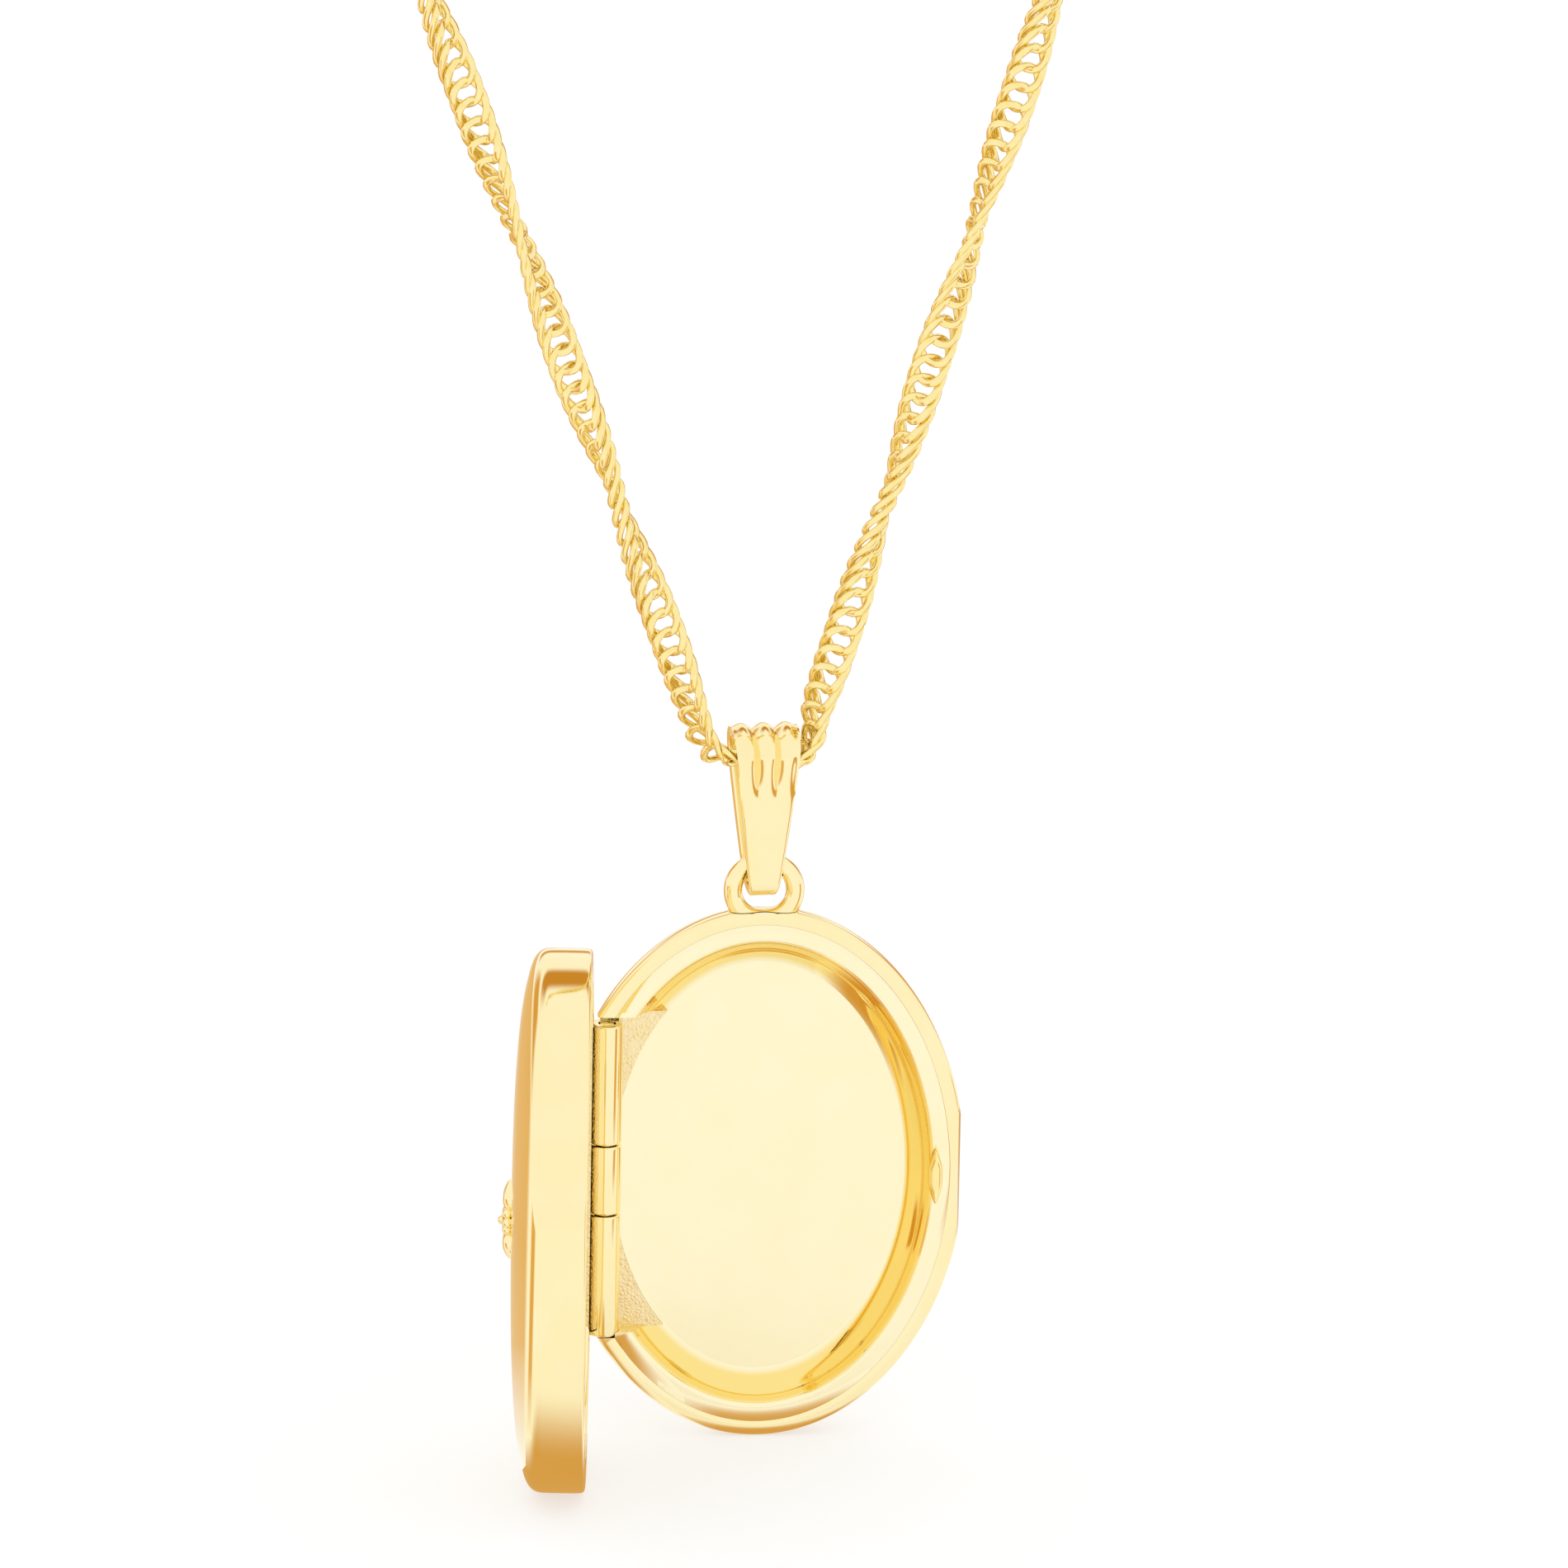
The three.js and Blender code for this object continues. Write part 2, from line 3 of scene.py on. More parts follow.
import bmesh
import bpy
from mathutils import Matrix, Vector


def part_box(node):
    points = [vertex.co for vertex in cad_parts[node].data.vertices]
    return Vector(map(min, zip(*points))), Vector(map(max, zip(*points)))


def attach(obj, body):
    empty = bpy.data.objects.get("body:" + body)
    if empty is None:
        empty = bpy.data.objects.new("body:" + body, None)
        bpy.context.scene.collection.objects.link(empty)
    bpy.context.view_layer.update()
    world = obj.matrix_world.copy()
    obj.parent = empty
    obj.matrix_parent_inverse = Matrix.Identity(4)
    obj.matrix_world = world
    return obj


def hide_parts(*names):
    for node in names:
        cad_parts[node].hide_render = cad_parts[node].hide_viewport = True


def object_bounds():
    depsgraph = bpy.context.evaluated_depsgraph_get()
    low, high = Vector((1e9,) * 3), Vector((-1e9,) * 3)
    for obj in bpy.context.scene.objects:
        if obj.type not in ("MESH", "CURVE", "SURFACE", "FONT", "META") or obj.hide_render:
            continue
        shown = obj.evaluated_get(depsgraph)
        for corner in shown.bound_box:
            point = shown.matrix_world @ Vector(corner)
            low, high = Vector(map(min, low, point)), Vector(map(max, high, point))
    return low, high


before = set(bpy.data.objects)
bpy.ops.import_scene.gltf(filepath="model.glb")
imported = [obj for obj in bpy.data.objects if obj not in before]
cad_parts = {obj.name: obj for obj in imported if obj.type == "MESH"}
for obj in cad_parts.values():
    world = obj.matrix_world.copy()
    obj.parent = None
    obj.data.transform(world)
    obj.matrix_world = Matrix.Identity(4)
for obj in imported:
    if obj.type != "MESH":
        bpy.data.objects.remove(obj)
cad_low, cad_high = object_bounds()

# ---------------------------------------------------------------------------
# Setting out
# The rear half's rim is the datum: its oval is 18 by 24.2 mm, and every other piece
# is set out in millimetres from the oval's centre, in the rim's plane.
# ---------------------------------------------------------------------------
MM = 0.001
HALF_W, HALF_H = 9.0, 12.1
rear_low, rear_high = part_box("rear_shell")
ring_low, ring_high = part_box("hanging_ring")
CENTRE = Vector(((ring_low.x + ring_high.x) / 2, rear_low.y, rear_low.z + HALF_H * MM))
RING_Y = -CENTRE.y / MM            # the ring, bail and chain hang in one plane behind the rim


def place(x, y, z):
    return CENTRE + Vector((x, y, z)) * MM


# ---------------------------------------------------------------------------
# Camera
# A long lens, a little above the locket and a little to its left, so that the open
# cover stands edge-on; the frame takes in the hanging strands up to just below their ends.
# ---------------------------------------------------------------------------
AZIMUTH, ELEVATION, ROLL = math.radians(-5.0), math.radians(17.0), math.radians(1.0)
VIEW_DISTANCE, FRAME_WIDTH = 0.700, 0.0686
AIM_RIGHT, AIM_UP = 0.742, 17.093    # from the oval's centre, in millimetres
back = Vector((math.sin(AZIMUTH) * math.cos(ELEVATION),
               -math.cos(AZIMUTH) * math.cos(ELEVATION), math.sin(ELEVATION)))
right = Vector((0, 0, 1)).cross(back).normalized()
upward = back.cross(right)
aim = CENTRE + right * AIM_RIGHT * MM + upward * AIM_UP * MM
camera_data = bpy.data.cameras.new("camera")
camera_data.lens = camera_data.sensor_width * VIEW_DISTANCE / FRAME_WIDTH
camera_data.clip_start, camera_data.clip_end = 0.01, 10
camera = bpy.data.objects.new("camera", camera_data)
bpy.context.scene.collection.objects.link(camera)
bpy.context.scene.camera = camera
turned_right = right * math.cos(ROLL) + upward * math.sin(ROLL)
turned_up = back.cross(turned_right)
axes = Matrix((turned_right, turned_up, back)).transposed().to_4x4()
camera.matrix_world = Matrix.Translation(aim + back * VIEW_DISTANCE) @ axes


# ---------------------------------------------------------------------------
# Chain
# A twisted curb chain of flattened gold wire, 1.7 mm wide. Every link is bent like a
# saddle, so that it hooks through its neighbours, and the whole chain makes half a
# turn every 12.7 mm. Both strands are pulled straight from above.
# ---------------------------------------------------------------------------
CHAIN_WIDTH, LINK_PITCH, HALF_TWIST = 1.7, 0.9, 12.7
FIRST_TURN = -0.435                  # radians, at the clasp's end
BEND_START, BEND_END, BEND_TURN = 0.0375, 0.0435, -0.75    # the links roll over in the bail


def linear(hex_colour):
    parts = [int(hex_colour[i:i + 2], 16) / 255 for i in (1, 3, 5)]
    return tuple(c / 12.92 if c <= 0.04045 else ((c + 0.055) / 1.055) ** 2.4 for c in parts) + (1.0,)


def add_node(tree, kind, settings=None, inputs=None):
    node = tree.nodes.new(kind)
    for name, value in (settings or {}).items():
        setattr(node, name, value)
    for name, value in (inputs or {}).items():
        if isinstance(value, bpy.types.NodeSocket):
            tree.links.new(value, node.inputs[name])
        else:
            node.inputs[name].default_value = value
    return node


def new_material(name):
    material = bpy.data.materials.new(name)
    material.use_nodes = True
    material.node_tree.nodes.clear()
    return material, material.node_tree


# Yellow gold, drawn to wire, flattened and tumble polished: bright facets, a warm body,
# and a faint uneven grain.
def make_chain_gold():
    material, tree = new_material("chain_gold")
    where = add_node(tree, "ShaderNodeTexCoord")
    marks = add_node(tree, "ShaderNodeTexNoise", None,
                     {"Vector": where.outputs["Object"], "Scale": 2600.0, "Detail": 3.0})
    rough = add_node(tree, "ShaderNodeMapRange", None,
                     {"Value": marks.outputs["Fac"], "From Min": 0.3, "From Max": 0.7,
                      "To Min": 0.09, "To Max": 0.2})
    tone = add_node(tree, "ShaderNodeMix", {"data_type": "RGBA"},
                    {"Factor": marks.outputs["Fac"], "A": linear("#F9E088"), "B": linear("#FDF0BA")})
    dents = add_node(tree, "ShaderNodeBump", None,
                     {"Height": marks.outputs["Fac"], "Strength": 0.12, "Distance": 0.00002})
    shader = add_node(tree, "ShaderNodeBsdfPrincipled", None,
                      {"Metallic": 1.0, "Base Color": tone.outputs["Result"],
                       "Roughness": rough.outputs["Result"], "Normal": dents.outputs["Normal"]})
    add_node(tree, "ShaderNodeOutputMaterial", None, {"Surface": shader.outputs["BSDF"]})
    return material


chain_gold = make_chain_gold()


# Sections of equally many points, skinned into one closed surface. Points are millimetres.
def skin(name, sections, loop=False, place_points=True):
    count = len(sections[0])
    points = [place(*p) if place_points else Vector(p) * MM for row in sections for p in row]
    rows = len(sections)
    faces = []
    for r in range(rows if loop else rows - 1):
        for i in range(count):
            j = (i + 1) % count
            s = (r + 1) % rows
            faces.append((r * count + i, r * count + j, s * count + j, s * count + i))
    if not loop:
        faces.append(tuple(range(count))[::-1])
        faces.append(tuple((rows - 1) * count + i for i in range(count)))
    return finish_mesh(name, points, faces)


def finish_mesh(name, points, faces):
    mesh = bpy.data.meshes.new(name)
    mesh.from_pydata(points, [], faces)
    work = bmesh.new()
    work.from_mesh(mesh)
    bmesh.ops.remove_doubles(work, verts=work.verts, dist=1e-7)
    bmesh.ops.recalc_face_normals(work, faces=work.faces)
    work.to_mesh(mesh)
    work.free()
    piece = bpy.data.objects.new(name, mesh)
    bpy.context.scene.collection.objects.link(piece)
    return piece


def shade(piece, angle=35):
    piece.data.shade_smooth()
    piece.data.set_sharp_from_angle(angle=math.radians(angle))


def dress(piece, body, slot, material, *nodes, angle=35):
    piece.data.materials.clear()
    piece.data.materials.append(material)
    shade(piece, angle)
    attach(piece, body)
    if nodes:
        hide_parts(*nodes)


# Route of the chain's middle line, from the clasp's end down through the bail and up
CHAIN_ROUTE = [
    (-0.01428, -0.0013), (-0.0128, -0.00525), (-0.01132, -0.0092), (-0.00984, -0.0132),
    (-0.00836, -0.0172), (-0.00688, -0.0212), (-0.00538, -0.0252), (-0.0039, -0.0292),
    (-0.00242, -0.0332), (-0.00145, -0.03595), (-0.0011, -0.03685), (-0.0007, -0.0376),
    (-6e-05, -0.03814), (0.0007, -0.03825), (0.0017, -0.03825), (0.00265, -0.03825),
    (0.0033, -0.03814), (0.00372, -0.03762), (0.00392, -0.0368), (0.00414, -0.0358),
    (0.00506, -0.03275), (0.00631, -0.02855), (0.00756, -0.02435), (0.00881, -0.02015),
    (0.01006, -0.01595), (0.01131, -0.01175), (0.01256, -0.00755), (0.01368, -0.00375),
    (0.01438, -0.00142)]


def smooth_line(points, steps):
    ends = [points[0] * 2 - points[1]] + points + [points[-1] * 2 - points[-2]]
    line = []
    for a, b, c, d in zip(ends, ends[1:], ends[2:], ends[3:]):
        for s in range(steps):
            t = s / steps
            line.append(0.5 * (2 * b + (c - a) * t + (2 * a - 5 * b + 4 * c - d) * t * t
                               + (3 * b - a - 3 * c + d) * t ** 3))
    line.append(points[-1])
    return line


chain_line = smooth_line([Vector((x, 0, z)) for x, z in CHAIN_ROUTE], 8)
chain_length = sum((b - a).length for a, b in zip(chain_line, chain_line[1:]))


def make_link():
    half_long, half_wide, saddle, tip = 1.0, 0.68, 0.3, 0.14
    wire_wide, wire_thick, roundness = 0.165, 0.14, 0.6
    sections = []
    turns, sides = 30, 12
    for k in range(turns):
        a = 2 * math.pi * k / turns
        bend = saddle * math.sin(2 * a) + tip * math.cos(a)
        middle = Vector((half_wide * math.sin(a), bend, half_long * math.cos(a)))
        outward = Vector((math.sin(a) / half_wide, 0, math.cos(a) / half_long)).normalized()
        slant = 2 * saddle * math.cos(2 * a) - tip * math.sin(a)
        along = Vector((half_wide * math.cos(a), slant, -half_long * math.sin(a)))
        along.normalize()
        face = along.cross(outward).normalized()
        outward = face.cross(along).normalized()
        row = []
        for i in range(sides):
            b = 2 * math.pi * i / sides
            u = math.copysign(abs(math.cos(b)) ** roundness, math.cos(b)) * wire_wide
            v = math.copysign(abs(math.sin(b)) ** roundness, math.sin(b)) * wire_thick
            row.append(middle + outward * u + face * v)
        sections.append(row)
    link = skin("chain_link", sections, loop=True, place_points=False)
    link.data.shade_smooth()
    link.data.materials.append(chain_gold)
    return link


def build_chain_tree(link):
    tree = bpy.data.node_groups.new("links_on_strand", "GeometryNodeTree")
    face = tree.interface
    face.new_socket("Geometry", in_out="INPUT", socket_type="NodeSocketGeometry")
    face.new_socket("Link", in_out="INPUT", socket_type="NodeSocketObject")
    face.new_socket("Pitch", in_out="INPUT", socket_type="NodeSocketFloat")
    face.new_socket("Half twist", in_out="INPUT", socket_type="NodeSocketFloat")
    face.new_socket("First turn", in_out="INPUT", socket_type="NodeSocketFloat")
    face.new_socket("Bend start", in_out="INPUT", socket_type="NodeSocketFloat")
    face.new_socket("Bend end", in_out="INPUT", socket_type="NodeSocketFloat")
    face.new_socket("Bend turn", in_out="INPUT", socket_type="NodeSocketFloat")
    face.new_socket("Gold", in_out="INPUT", socket_type="NodeSocketMaterial")
    face.new_socket("Geometry", in_out="OUTPUT", socket_type="NodeSocketGeometry")
    given = add_node(tree, "NodeGroupInput").outputs
    run = add_node(tree, "GeometryNodeSplineParameter")
    share = add_node(tree, "ShaderNodeMath", {"operation": "DIVIDE"},
                     {0: run.outputs["Length"], 1: given["Half twist"]})
    turn = add_node(tree, "ShaderNodeMath", {"operation": "MULTIPLY_ADD"},
                    {0: share.outputs[0], 1: math.pi, 2: given["First turn"]})
    rolled = add_node(tree, "ShaderNodeMapRange", None,
                      {"Value": run.outputs["Length"], "From Min": given["Bend start"],
                       "From Max": given["Bend end"], "To Min": 0.0, "To Max": given["Bend turn"]})
    turn = add_node(tree, "ShaderNodeMath", {"operation": "ADD"},
                    {0: turn.outputs[0], 1: rolled.outputs["Result"]})
    tilted = add_node(tree, "GeometryNodeSetCurveTilt", None,
                      {"Curve": given["Geometry"], "Tilt": turn.outputs[0]})
    spots = add_node(tree, "GeometryNodeCurveToPoints", {"mode": "LENGTH"},
                     {"Curve": tilted.outputs[0], "Length": given["Pitch"]})
    shape = add_node(tree, "GeometryNodeObjectInfo", None, {"Object": given["Link"]})
    rows = add_node(tree, "GeometryNodeInstanceOnPoints", None,
                    {"Points": spots.outputs["Points"], "Instance": shape.outputs["Geometry"],
                     "Rotation": spots.outputs["Rotation"]})
    real = add_node(tree, "GeometryNodeRealizeInstances", None, {"Geometry": rows.outputs[0]})
    gilt = add_node(tree, "GeometryNodeSetMaterial", None,
                    {"Geometry": real.outputs[0], "Material": given["Gold"]})
    add_node(tree, "NodeGroupOutput", None, {"Geometry": gilt.outputs[0]})
    return tree


def set_inputs(modifier, values):
    for item in modifier.node_group.interface.items_tree:
        if item.item_type == "SOCKET" and item.in_out == "INPUT" and item.name in values:
            modifier[item.identifier] = values[item.name]


strand_data = bpy.data.curves.new("strand", "CURVE")
strand_data.dimensions = "3D"
strand_spline = strand_data.splines.new("POLY")
strand_spline.points.add(len(chain_line) - 1)
for point, spot in zip(strand_spline.points, chain_line):
    point.co = (*spot, 1)
strand = bpy.data.objects.new("strand", strand_data)
bpy.context.scene.collection.objects.link(strand)
link = make_link()
grow = strand.modifiers.new("links", "NODES")
grow.node_group = build_chain_tree(link)
link_count = round(chain_length / (LINK_PITCH * MM))
set_inputs(grow, {"Link": link, "Pitch": chain_length / link_count, "Half twist": HALF_TWIST * MM,
                  "First turn": FIRST_TURN, "Bend start": BEND_START, "Bend end": BEND_END,
                  "Bend turn": BEND_TURN, "Gold": chain_gold})
bpy.context.view_layer.update()
chain_mesh = bpy.data.meshes.new_from_object(strand.evaluated_get(bpy.context.evaluated_depsgraph_get()))
chain = bpy.data.objects.new("chain_links", chain_mesh)
bpy.context.scene.collection.objects.link(chain)
bpy.data.objects.remove(strand)
bpy.data.objects.remove(link)
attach(chain, "chain_ends")
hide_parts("chain")

# Jump rings, spring ring clasp and tag: round gold wire and sheet, soldered shut.
# They close the chain behind the neck; here the clasp ends one strand and the tag the other.
# The clasp is a bent tube with a gap, and the bolt's knob runs in a slot along its outside.
JUMP_R, JUMP_WIRE = 1.05, 0.28
CLASP_AWAY, CLASP_BEND, CLASP_WALL, CLASP_BORE = 4.75, 2.1, 0.6, 0.43
GAP_FROM, GAP_TO = 140.0, 190.0
SLOT_FROM, SLOT_SWEEP, SLOT_LOW, SLOT_HIGH, SLOT_HALF = 42, 68, 2.2, 3.2, 0.32
EYE_AWAY, EYE_R, EYE_WIRE = 1.27, 0.75, 0.2
BOLT_R, BOLT_FROM, BOLT_SWEEP, KNOB_AT = 0.37, 90, 103, 100
KNOB = [(2.35, 0.24), (2.9, 0.24), (3.0, 0.3), (3.18, 0.33), (3.3, 0.27), (3.33, 0.15)]
CLASP_WAY, TAG_WAY = Vector((-0.355, 0, 0.935)), Vector((0.288, 0, 0.958))
JUMP_STEP = (JUMP_R + JUMP_WIRE + 0.05) * MM


def bent_wire(name, middle, bend, wire, start=0.0, sweep=360.0, steps=72, sides=24, bore=0.0,
              swell=None):
    whole = sweep >= 360
    sections = []
    for s in range(steps if whole else steps + 1):
        a = math.radians(start + sweep * s / steps)
        ring = []
        size = wire * (swell(a) if swell else 1.0)
        for i in range(sides):
            b = 2 * math.pi * i / sides
            r = bend + size * math.cos(b)
            ring.append(middle + Vector((r * math.cos(a), size * math.sin(b), r * math.sin(a))))
        sections.append(ring)
    if bore:
        inner = []
        for s, row in enumerate(sections):
            a = math.radians(start + sweep * s / steps)
            core = middle + Vector((bend * math.cos(a), 0, bend * math.sin(a)))
            inner.append([core + (p - core) * (bore / wire) for p in row])
        sections = sections + inner[::-1]
        return skin(name, sections, loop=True, place_points=False)
    return skin(name, sections, loop=whole, place_points=False)


def carve(piece, cutter, operation="DIFFERENCE"):
    cut = piece.modifiers.new("cut", "BOOLEAN")
    cut.operation, cut.solver, cut.object = operation, "EXACT", cutter
    bpy.context.view_layer.update()
    carved = bpy.data.meshes.new_from_object(piece.evaluated_get(bpy.context.evaluated_depsgraph_get()))
    piece.modifiers.remove(cut)
    piece.data = carved
    bpy.data.objects.remove(cutter)


def in_mm(metres):
    return Vector(metres) / MM


clasp_ring_at = in_mm(chain_line[0] + CLASP_WAY * JUMP_STEP)
tag_ring_at = in_mm(chain_line[-1] + TAG_WAY * JUMP_STEP)
clasp_ring = bent_wire("clasp_jump_ring_fine", clasp_ring_at, JUMP_R, JUMP_WIRE)
dress(clasp_ring, "chain_ends", "chain_gold", chain_gold, "clasp_jump_ring")
tag_ring = bent_wire("tag_jump_ring_fine", tag_ring_at, JUMP_R, JUMP_WIRE)
dress(tag_ring, "chain_ends", "chain_gold", chain_gold, "tag_jump_ring")

clasp_at = clasp_ring_at + CLASP_WAY * CLASP_AWAY
clasp = bent_wire("clasp_ring", clasp_at, CLASP_BEND, CLASP_WALL, start=GAP_TO,
                  sweep=GAP_FROM + 360 - GAP_TO, steps=84, bore=CLASP_BORE)
slot_cutter = []
for s in range(13):
    a = math.radians(SLOT_FROM + SLOT_SWEEP * s / 12)
    slot_cutter.append([clasp_at + Vector((r * math.cos(a), y, r * math.sin(a)))
                        for r, y in ((SLOT_LOW, -SLOT_HALF), (SLOT_HIGH, -SLOT_HALF),
                                     (SLOT_HIGH, SLOT_HALF), (SLOT_LOW, SLOT_HALF))])
carve(clasp, skin("slot_cutter", slot_cutter, place_points=False))
dress(clasp, "chain_ends", "chain_gold", chain_gold, "clasp_body", "clasp_spring")

eye_middle = clasp_ring_at + CLASP_WAY * EYE_AWAY
eye_rows = []
for s in range(48):
    a = 2 * math.pi * s / 48
    across = CLASP_WAY * math.cos(a) + Vector((0, math.sin(a), 0))
    side = CLASP_WAY.cross(Vector((0, 1, 0))).normalized()
    eye_rows.append([eye_middle + across * (EYE_R + EYE_WIRE * math.cos(b)) + side * EYE_WIRE * math.sin(b)
                     for b in (2 * math.pi * i / 16 for i in range(16))])
clasp_eye = skin("clasp_eye", eye_rows, loop=True, place_points=False)
dress(clasp_eye, "chain_ends", "chain_gold", chain_gold)

bolt = bent_wire("clasp_bolt_fine", clasp_at, CLASP_BEND, BOLT_R, start=BOLT_FROM, sweep=BOLT_SWEEP,
                 steps=30, sides=16)
dress(bolt, "clasp_slider", "chain_gold", chain_gold, "clasp_bolt")
knob_rows = []
knob_way = Vector((math.cos(math.radians(KNOB_AT)), 0, math.sin(math.radians(KNOB_AT))))
knob_side = knob_way.cross(Vector((0, 1, 0)))
for rise, width in KNOB:
    knob_rows.append([clasp_at + knob_way * rise + knob_side * width * math.cos(b)
                      + Vector((0, width * math.sin(b), 0))
                      for b in (2 * math.pi * i / 24 for i in range(24))])
knob = skin("clasp_knob", knob_rows, place_points=False)
dress(knob, "clasp_slider", "chain_gold", chain_gold)

# The tag plate is stamped from sheet, with two holes and softly broken edges.
TAG_LOW, TAG_LOW_R, TAG_LOW_HOLE = 1.05, 0.95, 0.58
TAG_HIGH, TAG_HIGH_R, TAG_HIGH_HOLE = 3.6, 1.15, 0.75
TAG_FACE, TAG_EDGE, TAG_SHRINK = 0.225, 0.17, 0.07    # half thicknesses, and the edge's rounding
tag_side = Vector((0, 1, 0))
tag_through = TAG_WAY.cross(tag_side).normalized()


def tag_point(across, up, through):
    return tag_ring_at + tag_side * across + TAG_WAY * up + tag_through * through


outline = []
for i in range(25):
    a = math.pi * i / 24
    outline.append((TAG_HIGH_R * math.cos(a), TAG_HIGH + TAG_HIGH_R * math.sin(a)))
for i in range(25):
    a = math.pi + math.pi * i / 24
    outline.append((TAG_LOW_R * math.cos(a), TAG_LOW + TAG_LOW_R * math.sin(a)))
tag_rows = []
mid = (TAG_LOW + TAG_HIGH) / 2
for through, shrink in ((-TAG_FACE, TAG_SHRINK), (-TAG_EDGE, 0.0), (TAG_EDGE, 0.0), (TAG_FACE, TAG_SHRINK)):
    tag_rows.append([tag_point(x * (1 - shrink), mid + (z - mid) * (1 - shrink * 0.5), through)
                     for x, z in outline])
tag = skin("chain_tag_fine", tag_rows, place_points=False)
for height, radius in ((TAG_LOW, TAG_LOW_HOLE), (TAG_HIGH, TAG_HIGH_HOLE)):
    drill = [[tag_point(radius * math.cos(b), height + radius * math.sin(b), t)
              for b in (2 * math.pi * i / 32 for i in range(32))] for t in (-1, 1)]
    carve(tag, skin("drill", drill, place_points=False))
dress(tag, "chain_ends", "chain_gold", chain_gold, "chain_tag")


# ---------------------------------------------------------------------------
# Bail
# One tapering strap of gold sheet, folded round the chain at the top and through the
# hanging ring at the foot. Three ribs are pressed into it over the fold; they run out
# half way down each leaf.
# ---------------------------------------------------------------------------
STRAP, BAIL_X, BAIL_TOP, BAIL_FOOT = 0.44, -0.12, 20.45, 12.67
TOP_R, FOOT_R = 1.2, 0.66
TOP_HALF, FOOT_HALF = 1.5, 0.56
RIB_SINK, RIB_FROM, RIB_FULL = 0.27, 0.5, 0.78    # heights as shares of the bail's own
EDGE_DROP = 0.12
UNDER_EDGE = [(0.985, 0.1), (0.95, 0.02), (0.86, 0.0)]    # the strap's inner edge, rounded
BAIL_TURN = math.radians(6)          # it hangs turned a little on the chain


# Gold sheet polished hard on the buff: two close tones in slow clouds, hair-fine marks
# that vary the shine, and a slight wave of the surface. A second, deeper colour can be
# painted on the vertices marked as the tray's upright inner wall: painted shade for the
# darker light that the gold bounces round that recess.
def polished_gold_material(name, pale, deep, rough_low, rough_high, wave, painted_wall_shade=None):
    material, tree = new_material(name)
    where = add_node(tree, "ShaderNodeTexCoord")
    cloud = add_node(tree, "ShaderNodeTexNoise", None,
                     {"Vector": where.outputs["Object"], "Scale": 420.0, "Detail": 4.0})
    tone = add_node(tree, "ShaderNodeMix", {"data_type": "RGBA"},
                    {"Factor": cloud.outputs["Fac"], "A": linear(pale), "B": linear(deep)})
    colour = tone.outputs["Result"]
    if painted_wall_shade:
        wall_shade_share = add_node(tree, "ShaderNodeAttribute", {"attribute_name": "painted_wall_shade"})
        colour = add_node(tree, "ShaderNodeMix", {"data_type": "RGBA"},
                          {"Factor": wall_shade_share.outputs["Fac"], "A": colour, "B": linear(painted_wall_shade)}).outputs["Result"]
    smear = add_node(tree, "ShaderNodeMapping", None,
                     {"Vector": where.outputs["Object"], "Scale": (1.0, 1.0, 7.0),
                      "Rotation": (0.3, 0.7, 0.2)})
    hairs = add_node(tree, "ShaderNodeTexNoise", None,
                     {"Vector": smear.outputs["Vector"], "Scale": 9000.0, "Detail": 2.0})
    rough = add_node(tree, "ShaderNodeMapRange", None,
                     {"Value": hairs.outputs["Fac"], "From Min": 0.35, "From Max": 0.7,
                      "To Min": rough_low, "To Max": rough_high})
    fine = add_node(tree, "ShaderNodeBump", None,
                    {"Height": hairs.outputs["Fac"], "Strength": 0.05, "Distance": 0.000004})
    swell = add_node(tree, "ShaderNodeTexNoise", None,
                     {"Vector": where.outputs["Object"], "Scale": 260.0, "Detail": 1.0})
    soft = add_node(tree, "ShaderNodeBump", None,
                    {"Height": swell.outputs["Fac"], "Strength": 1.0, "Distance": wave,
                     "Normal": fine.outputs["Normal"]})
    shader = add_node(tree, "ShaderNodeBsdfPrincipled", None,
                      {"Metallic": 1.0, "Base Color": colour,
                       "Roughness": rough.outputs["Result"], "Normal": soft.outputs["Normal"]})
    add_node(tree, "ShaderNodeOutputMaterial", None, {"Surface": shader.outputs["BSDF"]})
    return material


polished_gold = polished_gold_material("polished_gold", "#FDF1C4", "#FCEAAE", 0.03, 0.1, 0.00001)

bail_top_z = BAIL_TOP - STRAP / 2 - TOP_R
bail_foot_z = BAIL_FOOT + STRAP / 2 + FOOT_R
bail_lean = math.asin((TOP_R - FOOT_R) / (bail_top_z - bail_foot_z))


def arc(middle, radius, start, end, steps):
    for s in range(steps + 1):
        a = start + (end - start) * s / steps
        yield (radius * math.cos(a), middle + radius * math.sin(a), math.cos(a), math.sin(a))


def strap_line():
    over = list(arc(bail_top_z, TOP_R, -bail_lean, math.pi + bail_lean, 40))
    under = list(arc(bail_foot_z, FOOT_R, math.pi + bail_lean, 2 * math.pi - bail_lean, 24))
    line = []
    for run, following in ((over, under), (under, over)):
        line += run
        a, b = run[-1], following[0]
        line += [tuple(a[k] + (b[k] - a[k]) * s / 24 for k in range(4)) for s in range(1, 24)]
    return line


def smooth_step(value, low, high):
    t = min(1.0, max(0.0, (value - low) / (high - low)))
    return t * t * (3 - 2 * t)


